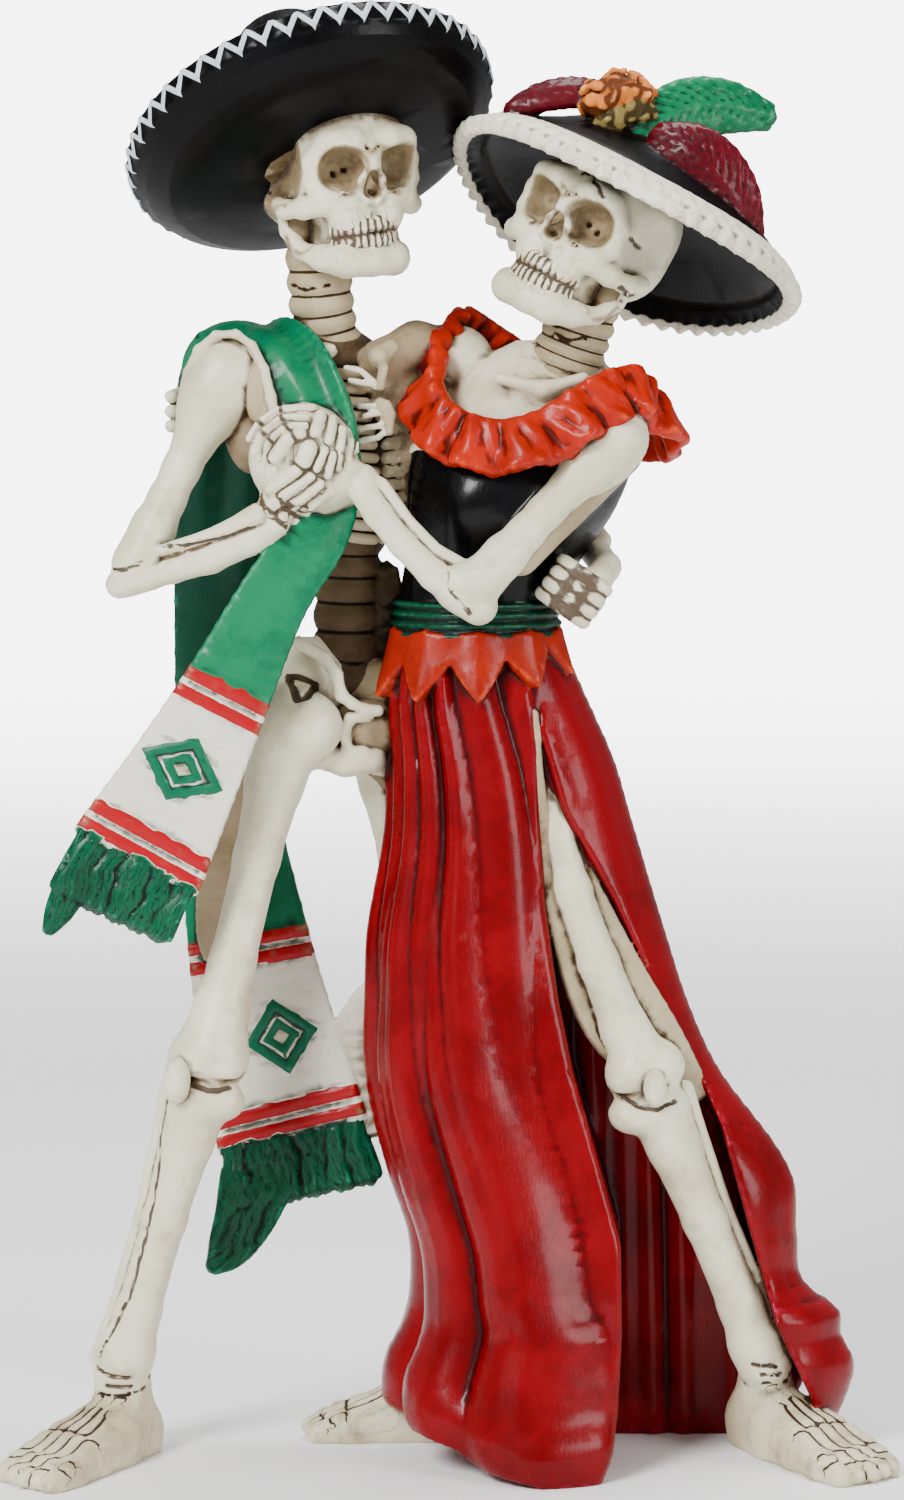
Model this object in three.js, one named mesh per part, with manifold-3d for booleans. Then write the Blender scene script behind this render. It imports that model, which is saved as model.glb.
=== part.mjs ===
// A dancing skeleton couple, cast as one solid of resin. It stands on three feet and the hem of
// the skirt. Millimetres: x to the right of the front view, y away from the viewer, z up, with
// the origin under the middle of the box.
import * as THREE from 'three';
import { mergeVertices } from 'three/addons/utils/BufferGeometryUtils.js';
import Module from 'manifold-3d';

const wasm = await Module();
wasm.setup();

// Driving dimensions
const height = 246;
const sombreroRadius = 31.4;
const sombreroRim = 4.8;
const crownHeight = 29;
const lacedHatRadius = 31.4;
const lacedHatHeight = 19;
const hatThickness = 2.2;
const featherThickness = 3;
const scarfThickness = 3.6;
const fringeLength = 14;
const ruffleWidth = 8;
const sashHeight = 6;
const peplumPoint = 6;
const skirtFold = 1.7;
const ribRelief = 1.3;

// The pose is drawn on a couple 246 mm tall, and grows with the height
const drawnHeight = 246;
const share = height / drawnHeight;

const man = {
  skull: [-18.3, -2.4, 215.5],
  skullTurn: [0, 0, 28],
  neck: [[-22.6, 1.5, 204], [-22.2, 2, 197], [-21.4, 3, 190.5], [-20, 3.5, 184]],
  ribs: { top: [-20, 3.5, 186], bottom: [-16.5, 3, 156], half: [14.5, 10.5], turn: 30 },
  lumbar: [[-16.8, 4, 158], [-17.2, 5, 145], [-17.4, 5.5, 130]],
  pelvis: [-18.2, 2.5, 127.5],
  rightArm: { shoulder: [-38.1, -2, 182.5], elbow: [-52.2, -10, 150.5], wrist: [-30.5, -18, 160.5] },
  leftArm: { shoulder: [-6, 8, 184], elbow: [18.6, 17, 160.6], wrist: [24.4, 6.6, 152] },
  rightLeg: { hip: [-26.5, -3, 127], knee: [-41.7, -15, 67.8], ankle: [-56.6, -7, 12.5] },
  leftLeg: { hip: [-12.5, 4, 124.8], knee: [-3, 21, 66], ankle: [3, 28, 12] },
  rightFoot: { heel: [-54.6, -1, 0], toes: [-70.2, -32, 0], toeLine: [0.7, -0.72, 0] },
  leftFoot: { heel: [-1, 25, 0], toes: [32, 34, 0], toeLine: [-0.2, 1, 0] },
};

const woman = {
  skull: [22.4, -4.5, 206.4],
  skullTurn: [0, 27, -30],
  neck: [[23.4, -1.5, 198], [21.4, -1, 191.6], [19.4, -0.5, 186], [17.6, 0, 180]],
  rightArm: { shoulder: [0.5, 7, 185.5], elbow: [-21, 19, 173.1], wrist: [-40.4, 12, 178.6] },
  leftArm: { shoulder: [27, -9, 173], elbow: [3.4, -19, 147.6], wrist: [-15.2, -20.5, 164.4] },
  leftLeg: { hip: [14.5, -6, 124], knee: [33.6, -14, 64.8], ankle: [54, -4, 14] },
  leftFoot: { heel: [50.6, 4, 2.4], toes: [67.8, -28, 0], toeLine: [0.76, 0.65, 0] },
  rightFoot: { heel: [12, 4, 0], toes: [-25.4, 0, 0], toeLine: [0, -1, 0] },
};

const spot = ([x, y, z]) => new THREE.Vector3(x, y, z).multiplyScalar(share);
const size = (length) => length * share;
const turn = ([x, y, z]) => new THREE.Matrix4().makeRotationFromEuler(
  new THREE.Euler(...[x, y, z].map(THREE.MathUtils.degToRad), 'YXZ'),
);
const mix = (from, to, part) => from.map((value, axis) => value + (to[axis] - value) * part);

// Closed meshes become solids that can be joined and cut
function solid(geometry) {
  const bare = geometry.clone();
  bare.deleteAttribute('normal');
  bare.deleteAttribute('uv');
  const merged = mergeVertices(bare, 1e-4);
  const points = merged.attributes.position.array;
  const corners = merged.index.array;
  const kept = [];
  let volume = 0;
  const [a, b, c] = [0, 1, 2].map(() => new THREE.Vector3());
  for (let i = 0; i < corners.length; i += 3) {
    const [p, q, r] = corners.slice(i, i + 3);
    if (p !== q && q !== r && r !== p) {
      kept.push(p, q, r);
      a.fromArray(points, 3 * p);
      b.fromArray(points, 3 * q);
      c.fromArray(points, 3 * r);
      volume += a.dot(b.cross(c));
    }
  }
  if (volume < 0) kept.reverse();
  return new wasm.Manifold(new wasm.Mesh({
    numProp: 3,
    vertProperties: new Float32Array(points),
    triVerts: new Uint32Array(kept),
  }));
}

const join = (solids) => solids.flat(Infinity).reduce((whole, piece) => whole.add(piece));

// Rings with the same number of points, skinned and closed by a fan at each end
function loft(rings) {
  const count = rings[0].length;
  const points = rings.flat();
  const index = [];
  for (let ring = 0; ring + 1 < rings.length; ring += 1) {
    for (let i = 0; i < count; i += 1) {
      const here = ring * count + i;
      const beside = ring * count + (i + 1) % count;
      index.push(here, beside, beside + count, here, beside + count, here + count);
    }
  }
  for (const [ring, flip] of [[0, true], [rings.length - 1, false]]) {
    const middle = new THREE.Vector3();
    rings[ring].forEach((point) => middle.add(point));
    points.push(middle.divideScalar(count));
    for (let i = 0; i < count; i += 1) {
      const edge = [ring * count + i, ring * count + (i + 1) % count];
      if (flip) edge.reverse();
      index.push(...edge, points.length - 1);
    }
  }
  const geometry = new THREE.BufferGeometry().setFromPoints(points);
  geometry.setIndex(index);
  return solid(geometry);
}

// The frame of a path at one of its stops: the way on, and two directions across it
function across(path, stop, side) {
  const before = path[Math.max(stop - 1, 0)];
  const after = path[Math.min(stop + 1, path.length - 1)];
  const way = after.clone().sub(before).normalize();
  const u = side.clone().addScaledVector(way, -side.dot(way)).normalize();
  const v = way.clone().cross(u);
  return { way, u, v };
}

// A round bar through stops of [x, y, z, radius], with rounded ends
function bar(stops, sides = 7, side = new THREE.Vector3(0, 1, 0.2)) {
  const path = stops.map(spot);
  const rings = [];
  const ringAt = (stop, forward, radius) => {
    const { way, u, v } = across(path, stop, side);
    const middle = path[stop].clone().addScaledVector(way, forward);
    rings.push(Array.from({ length: sides }, (_, i) => {
      const angle = (2 * Math.PI * i) / sides;
      return middle.clone()
        .addScaledVector(u, radius * Math.cos(angle))
        .addScaledVector(v, radius * Math.sin(angle));
    }));
  };
  const last = stops.length - 1;
  const [firstRadius, lastRadius] = [size(stops[0][3]), size(stops[last][3])];
  ringAt(0, -0.75 * firstRadius, 0.6 * firstRadius);
  stops.forEach((stop, i) => ringAt(i, 0, size(stop[3])));
  ringAt(last, 0.75 * lastRadius, 0.6 * lastRadius);
  return loft(rings);
}

// An ellipsoid in the pose, with a turn of its own
function ball(centre, radii, angles = [0, 0, 0], segments = 10, rows = 7) {
  const geometry = new THREE.SphereGeometry(1, segments, rows);
  geometry.rotateX(Math.PI / 2);
  geometry.scale(...radii.map(size));
  geometry.applyMatrix4(turn(angles));
  geometry.translate(...spot(centre));
  return solid(geometry);
}

// A flat band through stops of { at, width, side }, side being the way of its width
function band(stops, thickness, sides = 10) {
  const path = stops.map((stop) => spot(stop.at));
  const blunt = (value) => Math.sign(value) * Math.sqrt(Math.abs(value));
  return loft(stops.map((stop, i) => {
    const { u, v } = across(path, i, new THREE.Vector3(...stop.side));
    return Array.from({ length: sides }, (_, corner) => {
      const angle = (2 * Math.PI * (corner + 0.5)) / sides;
      return path[i].clone()
        .addScaledVector(u, 0.5 * size(stop.width) * blunt(Math.cos(angle)))
        .addScaledVector(v, 0.5 * thickness * blunt(Math.sin(angle)));
    });
  }));
}

// Level slices of [z, left, right, front, back] about a middle that runs from left to right
function trunk(slices, count, relief = () => 0, middleShare = 0.5) {
  return loft(slices.map(([z, left, right, front, back], level) => {
    const x = left + (right - left) * middleShare;
    return Array.from({ length: count }, (_, i) => {
      const angle = (2 * Math.PI * i) / count;
      const [cosine, sine] = [Math.cos(angle), Math.sin(angle)];
      const reach = 1 + relief(angle, level) / Math.max(right - x, 1);
      const middleY = 0.5 * (front + back);
      return spot([
        x + cosine * reach * (cosine > 0 ? right - x : x - left),
        middleY + sine * reach * 0.5 * (back - front),
        z,
      ]);
    });
  }));
}

// A skull looking along its own -y: level slices for crown, face and jaw, with sockets and nose
// cut in, a closed mouth between two rows of teeth, and an arch on each cheek
function skull({ skull: centre, skullTurn }) {
  const place = new THREE.Matrix4().setPosition(...spot(centre)).multiply(turn(skullTurn));
  const slices = [
    [16.2, 3.6, 1, 10], [14.4, 6.8, -3, 14], [10.4, 9.8, -6.6, 17], [5.2, 10.8, -9.2, 18],
    [-1.2, 9.6, -9.2, 16.6],
    [-5, 6.6, -9.6, 13], [-8.2, 5.8, -10.4, 6], [-8.9, 5.2, -9.4, 5], [-9.6, 6, -10.4, 4],
    [-13, 6.8, -11, 2],
    [-16, 4.6, -10.4, -1],
  ].map(([z, half, front, back]) => [z, -half, half, front, back]);
  const arch = [[5.4, -7, -3, 2], [9.2, -3, -3.4, 1.7], [10, 5, -1.4, 1.7]];
  const ramus = [[8.9, 4, -2.4, 1.7], [8, 2, -10, 2], [5.6, -3, -13.4, 2]];
  const mirror = ([x, ...rest]) => [-x, ...rest];
  const sides = [arch, arch.map(mirror), ramus, ramus.map(mirror)];
  const head = join([trunk(slices, 12), sides.map((stops) => bar(stops, 4))]);
  const hollows = join([
    ball([4.9, -8.6, 1.8], [3.7, 4.3, 3.3], [0, 0, 12], 6, 4),
    ball([-4.9, -8.6, 1.8], [3.7, 4.3, 3.3], [0, 0, -12], 6, 4),
    ball([0, -9.8, -2.4], [1.7, 3, 2.4], [0, 0, 0], 4, 4),
  ]);
  return head.subtract(hollows).transform(place.elements);
}

// A hat turned from [radius, z] points, its saddle lifting two opposite edges of the brim
function hat(profile, radius, saddle, centre, xAxis, upAxis) {
  const outline = profile.map(([r, z]) => new THREE.Vector2(r, z));
  const geometry = new THREE.LatheGeometry(outline, 16);
  geometry.rotateX(Math.PI / 2);
  const position = geometry.attributes.position;
  for (let i = 0; i < position.count; i += 1) {
    const [x, y] = [position.getX(i), position.getY(i)];
    const lift = (saddle * (x * x - y * y)) / (radius * radius);
    position.setZ(i, position.getZ(i) + lift);
  }
  const up = new THREE.Vector3(...upAxis).normalize();
  const right = new THREE.Vector3(...xAxis).addScaledVector(up, -up.dot(new THREE.Vector3(...xAxis)));
  right.normalize();
  geometry.applyMatrix4(new THREE.Matrix4().makeBasis(right, up.clone().cross(right), up));
  geometry.translate(...spot(centre));
  return solid(geometry);
}

function sombrero() {
  const r = sombreroRadius;
  const t = hatThickness;
  const profile = [
    [0, 0], [0.72 * r, 0], [0.9 * r, 1.6], [r - 0.4, 4.2], [r, 4.2 + sombreroRim],
    [r - 2.6, 4.2 + sombreroRim],
    [0.8 * r, 1 + t], [13, t], [11.2, 5], [10.2, 0.55 * crownHeight], [7.6, 0.88 * crownHeight],
    [0, crownHeight],
  ];
  return hat(profile, r, 0, [-21.6, -3.2, 219.2], [0.9, 0.1, -0.3], [-0.3, 0.52, 0.8]);
}

// A feather or leaf: a thin blade, widest a third of the way along
function feather(root, middle, tip, width, side) {
  const shares = [0.3, 1, 0.9, 0.25];
  const stops = shares.map((part, i) => {
    const t = i / (shares.length - 1);
    return { at: mix(mix(root, middle, t), mix(middle, tip, t), t), width: width * part, side };
  });
  return band(stops, featherThickness, 6);
}

function lacedHat() {
  const r = lacedHatRadius;
  const t = hatThickness;
  const top = lacedHatHeight;
  const profile = [
    [0, 9.6], [13, 8.6], [20, 6.2], [27, 2], [r - 0.6, -1.6], [r + 0.2, 0.2], [r - 1, 1.2],
    [26.4, 3 + t], [18, 8 + t], [12, 0.8 * top], [7, 0.96 * top], [0, top],
  ];
  return join([
    hat(profile, r, 2.4, [28.5, -0.5, 207.6], [0.887, 0, -0.462], [0.446, 0.31, 0.84]),
    feather([26, -9, 228.5], [18, -9, 232], [9.5, -8, 228.4], 7, [0, 1, 0.5]),
    feather([32, -11, 223.5], [40, -9, 232.5], [52.8, -5, 228], 12.5, [-0.2, 0.1, 1]),
    feather([34.6, -13, 224], [45, -19, 220.6], [50.4, -13, 208.2], 12, [1, 0.2, 0.6]),
    ball([28, -10.5, 227.4], [6.4, 5.4, 5], [0, 20, 0], 7, 5),
  ]);
}

// A neck or loin of stacked bones: each is thick at its rims and waisted between
function column(stops, radius, bones) {
  const curve = new THREE.CatmullRomCurve3(stops.map((stop) => new THREE.Vector3(...stop)));
  const rings = Array.from({ length: 2 * bones + 1 }, (_, i) => {
    const swell = i % 2 === 0 ? 1 : 0.86;
    return [...curve.getPoint(i / (2 * bones)), radius * swell];
  });
  return bar(rings, 6);
}

// The rib cage: a barrel turned to face the partner, with a ridge for every rib
function ribCage({ top, bottom, half, turn: yaw }, ribs) {
  const levels = 2 * ribs;
  const rings = Array.from({ length: levels + 1 }, (_, level) => {
    const t = level / levels;
    const barrel = Math.sin(Math.PI * (0.16 + 0.72 * t)) ** 0.6;
    const relief = level % 2 === 0 ? 0 : ribRelief;
    return Array.from({ length: 10 }, (_, i) => {
      const angle = (2 * Math.PI * i) / 10;
      const x = size(half[0] * barrel) + relief;
      const y = size(half[1] * barrel) + relief;
      const sag = size(3) * Math.sin(angle);
      const point = new THREE.Vector3(x * Math.cos(angle), y * Math.sin(angle), sag);
      point.applyAxisAngle(new THREE.Vector3(0, 0, 1), THREE.MathUtils.degToRad(yaw));
      return point.add(spot(mix(top, bottom, t)));
    });
  });
  return loft(rings);
}

// A second, thinner bone beside the one from start to end
function besideBone(start, end, side, reach, thick) {
  const at = (part, out, radius) => [
    ...mix(start, end, part).map((value, axis) => value + side[axis] * reach * out),
    thick * radius,
  ];
  return bar([at(0.14, 1, 1.15), at(0.5, 1, 1), at(0.95, 0.5, 1.5)], 4);
}

// A long bone from start to end, thick at its ends: stops of [part of the way, radius]
const bone = (start, end, stops) => bar(
  stops.map(([part, radius]) => [...mix(start, end, part), radius]),
  6,
);

const arm = ({ shoulder, elbow, wrist }) => [
  bone(shoulder, elbow, [[0, 5.8], [0.2, 5.6], [0.5, 4.2], [1, 4.6]]),
  bone(elbow, wrist, [[0, 4.4], [0.4, 3.1], [1, 3]]),
];

const leg = ({ hip, knee, ankle }) => [
  bone(hip, knee, [[0, 6], [0.14, 6.2], [0.42, 4.4], [0.76, 4.4], [0.95, 6.8], [1, 6.8]]),
  bone(knee, ankle, [[0.07, 6.8], [0.22, 5], [0.6, 3.9], [1, 5.6]]),
];

const kneecap = ([x, y, z]) => ball([x - 0.3, y - 5.4, z + 1], [3.6, 3, 4.2], [0, 0, 0], 5, 4);

// A hand or foot: a flat form whose back carries a ridge for every finger or toe. Each stop is
// [x, y, z, half width, thickness, height of the ridges], and side is the way of its width
function ridged(stops, side, ridges, under) {
  const path = stops.map(spot);
  return loft(stops.map(([, , , half, deep, ridge], stop) => {
    const u = side.clone().normalize();
    const v = across(path, stop, side).v;
    const place = (out, up) => path[stop].clone()
      .addScaledVector(u, size(half) * out)
      .addScaledVector(v, size(up));
    const over = Array.from({ length: 2 * ridges + 1 }, (_, i) => {
      const out = 1 - i / ridges;
      return place(out, Math.sqrt(1 - 0.8 * out * out) * deep + (i % 2 === 1 ? 0.5 : -1) * ridge);
    });
    return [...over, place(-0.8, -under), place(0.8, -under)];
  }));
}

function foot({ heel, toes, toeLine }) {
  const stops = [
    [0, 4.2, 7, 0], [0.1, 5.2, 9.4, 0], [0.36, 6, 9.8, 0.3], [0.7, 8, 6, 0.9],
    [0.92, 8.4, 4.6, 1], [1, 7.4, 3, 0.8],
  ].map(([part, half, deep, ridge]) => [...mix(heel, toes, part), half, deep, ridge]);
  return ridged(stops, new THREE.Vector3(...toeLine), 5, 3);
}

function pelvis([x, y, z]) {
  return [
    ball([x - 8, y - 2, z + 3.5], [8.5, 4, 8], [0, -28, 20], 7, 5),
    ball([x + 8.5, y + 0.5, z + 1.5], [7, 4, 8], [0, 24, -8], 6, 4),
    ball([x, y + 3, z + 1], [6, 4.5, 8], [0, 0, 0], 6, 4),
    bar([[x - 7, y - 3, z - 3, 3], [x + 1, y - 5, z - 6.5, 2.6], [x + 8, y - 2, z - 3, 3]], 5),
  ];
}

// The clasped hands: his knuckles to the front, her fingers wrapped over their left side
function clasp() {
  const his = ridged([
    [-29.4, -17.6, 159.4, 4.6, 3.4, 0.3], [-26.4, -18.4, 163.6, 6, 4.6, 0.7],
    [-22.4, -18.6, 171.6, 7, 6, 0.9],
    [-20.4, -17, 176.6, 6, 4.6, 0.8], [-19.6, -14, 178.4, 4, 2.4, 0.3],
  ], new THREE.Vector3(-0.8, 0.1, 0.6), 4, 3);
  const hers = ridged([
    [-22, -18, 172.6, 5, 5, 0.4], [-28.4, -17.6, 171.6, 6.4, 5.4, 0.8],
    [-32.6, -15.4, 170.6, 6, 3.6, 0.8],
    [-34, -12.6, 170, 4.4, 1.6, 0.3],
  ], new THREE.Vector3(0, 0.2, 1), 4, 3);
  return [his, hers];
}

// His left hand lies on the back of her waist, the fingers showing beside the bodice
function waistHand({ wrist }) {
  return ridged([
    [...wrist, 3, 3, 0], [24.6, -1, 150.4, 4.2, 3.4, 0.3], [21.6, -5.8, 148, 5.2, 4, 0.8],
    [16.2, -8, 144.4, 4.4, 3, 0.8],
  ], new THREE.Vector3(-0.55, 0, 0.8), 4, 3);
}

// Her right hand reaches round his back: only the fingers show past his arm
function backHand({ wrist }) {
  return ridged([
    [...wrist, 4, 2.6, 0.2], [-45.4, 7, 179, 4.6, 2.8, 0.8], [-48.4, 2.6, 178.4, 4.4, 1.6, 0.6],
  ], new THREE.Vector3(0, 0, 1), 4, 2);
}

// Tassels along the end of the scarf: one cut edge, combed into wedges front and back
function fringe(leftEnd, rightEnd, leftFall, midFall, rightFall, strands) {
  const points = 2 * strands + 1;
  const face = (depth, reach) => Array.from({ length: points }, (_, i) => {
    const u = i / (points - 1);
    const start = mix(leftEnd, rightEnd, u);
    const sides = u < 0.5 ? mix(leftFall, midFall, 2 * u) : mix(midFall, rightFall, 2 * u - 1);
    const long = reach * (i % 2 === 0 ? 1 : 0.9);
    const proud = depth * (i % 2 === 0 ? 1 : 0.45);
    const tip = new THREE.Vector3(...sides).multiplyScalar(fringeLength * long);
    return spot(start).add(tip).add(new THREE.Vector3(0, proud, 0));
  });
  const deep = 0.45 * scarfThickness;
  return loft([[-0.1, 0.6 * deep], [0.25, 1.5 * deep], [1, deep]].map(([reach, depth]) => [
    ...face(-depth, reach), ...face(depth, reach).reverse(),
  ]));
}

function scarf() {
  const front = band([
    { at: [-38.6, 8, 184], width: 12, side: [1, 0, 0.3] },
    { at: [-35.6, 3, 188.6], width: 14, side: [1, -0.2, 0.3] },
    { at: [-31, -5.5, 187.2], width: 16, side: [0.9, 0.3, 0.4] },
    { at: [-25.4, -9.8, 180.5], width: 15, side: [1, -0.1, 0.5] },
    { at: [-20.8, -12, 171.5], width: 11, side: [1, -0.2, 0.1] },
    { at: [-22, -14.6, 159], width: 11, side: [0.95, 0, -0.3] },
    { at: [-29.7, -17, 146.7], width: 11.8, side: [0.87, 0, -0.5] },
    { at: [-37, -18, 132.2], width: 14.8, side: [0.82, 0, -0.57] },
    { at: [-44.6, -19, 117.6], width: 18.8, side: [0.9, 0, -0.43] },
    { at: [-52.4, -20, 103.4], width: 23.4, side: [0.957, 0, -0.29] },
  ], scarfThickness, 6);
  const back = band([
    { at: [-36.4, 4, 188], width: 14, side: [1, -0.2, 0.2] },
    { at: [-40, 11.5, 182.6], width: 12.6, side: [1, 0.1, 0.2] },
    { at: [-41.2, 15, 172], width: 12.6, side: [1, 0, 0] },
    { at: [-41.2, 16, 144], width: 13, side: [1, 0, 0] },
    { at: [-39.6, 14, 117], width: 15.5, side: [1, 0, 0.1] },
    { at: [-35, 10, 86], width: 20.9, side: [0.98, 0, 0.2] },
    { at: [-31.4, 8.6, 69], width: 23.6, side: [0.95, 0, 0.3] },
    { at: [-27.4, 7.5, 52.7], width: 26.3, side: [0.93, 0, 0.37] },
  ], scarfThickness, 6);
  return [
    front,
    back,
    fringe([-63.6, -20, 106.6], [-41.2, -20, 100], [-0.25, 0, -0.92], [0, 0, -0.5], [-0.28, 0, -0.7], 6),
    fringe([-39.5, 7.5, 47.8], [-15.2, 7.5, 57.6], [-0.16, 0, -1.42], [0, 0, -1.1], [0.38, 0, -0.9], 6),
  ];
}

// The waves of cloth round the shoulders, a closed ring of scallops
function ruffle() {
  const path = new THREE.CatmullRomCurve3([
    [1.5, 8, 190.6], [-3.4, -1, 184.4], [-3.6, -8.6, 177], [2.6, -13.6, 172.6],
    [10.4, -16, 171.6], [17.4, -15.2, 174.4],
    [24, -12.6, 178.4], [30, -7.6, 180.6], [35.4, -1, 175.6], [34, 8, 172.6], [22, 14, 177],
    [8, 13.5, 186],
  ].map(spot), true);
  const steps = 22;
  const centre = spot([14, -1, 178]);
  const rings = Array.from({ length: steps }, (_, i) => {
    const at = path.getPoint(i / steps);
    const outward = at.clone().sub(centre).setZ(0).normalize();
    const wave = i % 2 === 0 ? 1 : 0;
    const half = 0.5 * ruffleWidth;
    const section = [
      [0.4, half], [2 + wave, 0.2 * half], [2.2 + 1.6 * wave, -half], [-0.4, -half - wave], [-2.8, 0],
    ];
    return section.map(([out, up]) => {
      const point = at.clone().addScaledVector(outward, out);
      return point.setZ(point.z + up);
    });
  });
  const index = [];
  const count = rings[0].length;
  for (let ring = 0; ring < steps; ring += 1) {
    for (let i = 0; i < count; i += 1) {
      const here = ring * count + i;
      const beside = ring * count + (i + 1) % count;
      const onward = ((ring + 1) % steps) * count;
      index.push(here, beside, onward + (i + 1) % count, here, onward + (i + 1) % count, onward + i);
    }
  }
  const geometry = new THREE.BufferGeometry().setFromPoints(rings.flat());
  geometry.setIndex(index);
  return solid(geometry);
}

function dress() {
  const chest = trunk([
    [136, -9, 17.5, -11, 11], [144, -8.8, 17.6, -11, 10.5], [152, -7.8, 22.6, -12.6, 10.5],
    [161, -7.2, 28.8, -15, 11],
    [168, -6.8, 31.4, -13.6, 12], [175, -4.6, 32, -10.4, 13], [181, -1, 30.5, -7.6, 12.5],
    [188, 8, 23, -2, 8],
  ], 12);
  const sash = trunk([
    [138, -10.6, 19, -13, 13], [138 + sashHeight, -10, 18.6, -12.6, 12.4],
  ], 12);
  const lobes = 6;
  const points = 4 * lobes;
  const rings = [[141, 0.9, 0], [132, 1.12, 1], [131, 0.9, 1]].map(([z, swell, point]) => (
    Array.from({ length: points }, (_, i) => {
      const angle = (2 * Math.PI * i) / points;
      const drop = peplumPoint * Math.abs((i % 4) / 2 - 1) * point;
      const [x, y] = [15.2 * swell * Math.cos(angle), 13.4 * swell * Math.sin(angle)];
      return spot([5.4 + x, 0.5 + y, z - drop + 2 * point]);
    })
  ));
  return [chest, sash, loft(rings)];
}

// The skirt falls in folds to a hem on the ground, and is cut open at the front for the leg
function skirt() {
  const slices = [
    [139, -9, 18, -11, 12], [128, -11.2, 22.6, -12.6, 13.8], [108, -12.4, 30.6, -14.4, 16],
    [86, -15.4, 37.4, -17.4, 18],
    [67, -16, 44.4, -20.4, 19.6], [46, -13.2, 55.4, -24.6, 23], [28, -9.6, 61, -28, 26],
    [16, -6.4, 67, -30, 29],
    [9, -9.4, 67, -31, 30], [-2, -5, 60, -32, 30],
  ];
  const folds = (angle, level) => {
    const growth = Math.min(1, level / 4);
    const sway = 0.18 * level;
    return skirtFold * growth * Math.cos(7 * angle + sway);
  };
  const fall = trunk(slices, 28, folds, 0.3);
  const cut = [
    [122, 14.4, 15.4, -9], [111, 14.6, 20.6, -8], [95, 15.6, 28, -6], [79, 17.7, 35.4, -4],
    [67, 20, 41.4, -2], [57, 23.5, 46, 0],
    [39, 29, 50.4, 3], [24, 28.6, 55, 5], [10, 27.2, 61, 8], [-4, 24, 64, 9],
  ];
  const opening = loft(cut.map(([z, left, right, back]) => [
    [left, -60, z], [right + 14, -60, z], [right, back - 2, z],
    [right - 3, back, z], [left + 5, back, z], [left, back - 4, z],
  ].map(spot)));
  return fall.subtract(opening);
}

const everything = join([
  skull(man),
  skull(woman),
  sombrero(),
  lacedHat(),
  column(man.neck, 5.6, 3),
  column(woman.neck, 5.9, 3),
  ribCage(man.ribs, 7),
  column(man.lumbar, 5, 5),
  pelvis(man.pelvis),
  arm(man.rightArm),
  besideBone(man.rightArm.elbow, man.rightArm.wrist, [-0.2, -0.3, 0.9], 3.4, 1.7),
  arm(man.leftArm),
  arm(woman.rightArm),
  arm(woman.leftArm),
  besideBone(woman.leftArm.elbow, woman.leftArm.wrist, [0.75, -0.1, 0.65], 3.4, 1.7),
  bar([[-36, 2, 185, 4], [-20, 1, 187, 3.4], [-6, 7, 186, 4]], 5),
  clasp(),
  waistHand(man.leftArm),
  backHand(woman.rightArm),
  leg(man.rightLeg),
  besideBone(man.rightLeg.knee, man.rightLeg.ankle, [-0.9, 0.4, 0], 5, 1.7),
  kneecap(man.rightLeg.knee),
  leg(man.leftLeg),
  leg(woman.leftLeg),
  besideBone(woman.leftLeg.knee, woman.leftLeg.ankle, [0.9, 0.4, 0.3], 5, 1.7),
  kneecap(woman.leftLeg.knee),
  foot(man.rightFoot),
  foot(man.leftFoot),
  foot(woman.leftFoot),
  foot(woman.rightFoot),
  scarf(),
  ruffle(),
  dress(),
  skirt(),
]);

// Everything under the ground is cut away, so that the feet and the hem stand flat
const reach = 4 * height;
const ground = new THREE.BoxGeometry(reach, reach, reach);
ground.translate(0, 0, -0.5 * reach);
const smallestStep = 0.2;
const standing = everything.subtract(solid(ground)).simplify(smallestStep).decompose()
  .reduce((largest, piece) => (piece.volume() > largest.volume() ? piece : largest));

function meshOf(body) {
  const { numProp, vertProperties, triVerts } = body.getMesh();
  const geometry = new THREE.BufferGeometry();
  geometry.setAttribute('position', new THREE.Float32BufferAttribute(vertProperties, numProp));
  geometry.setIndex([...triVerts]);
  geometry.computeBoundingBox();
  const { min, max } = geometry.boundingBox;
  geometry.translate(-0.5 * (min.x + max.x), -0.5 * (min.y + max.y), -min.z);
  geometry.computeVertexNormals();
  return geometry;
}

const paintedResin = new THREE.MeshStandardMaterial({ color: '#d9d3c0', roughness: 0.55, metalness: 0 });
const couple = new THREE.Mesh(meshOf(standing), paintedResin);
couple.name = 'dancing_couple';

const figurine = new THREE.Group();
figurine.add(couple);

export default figurine;
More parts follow.
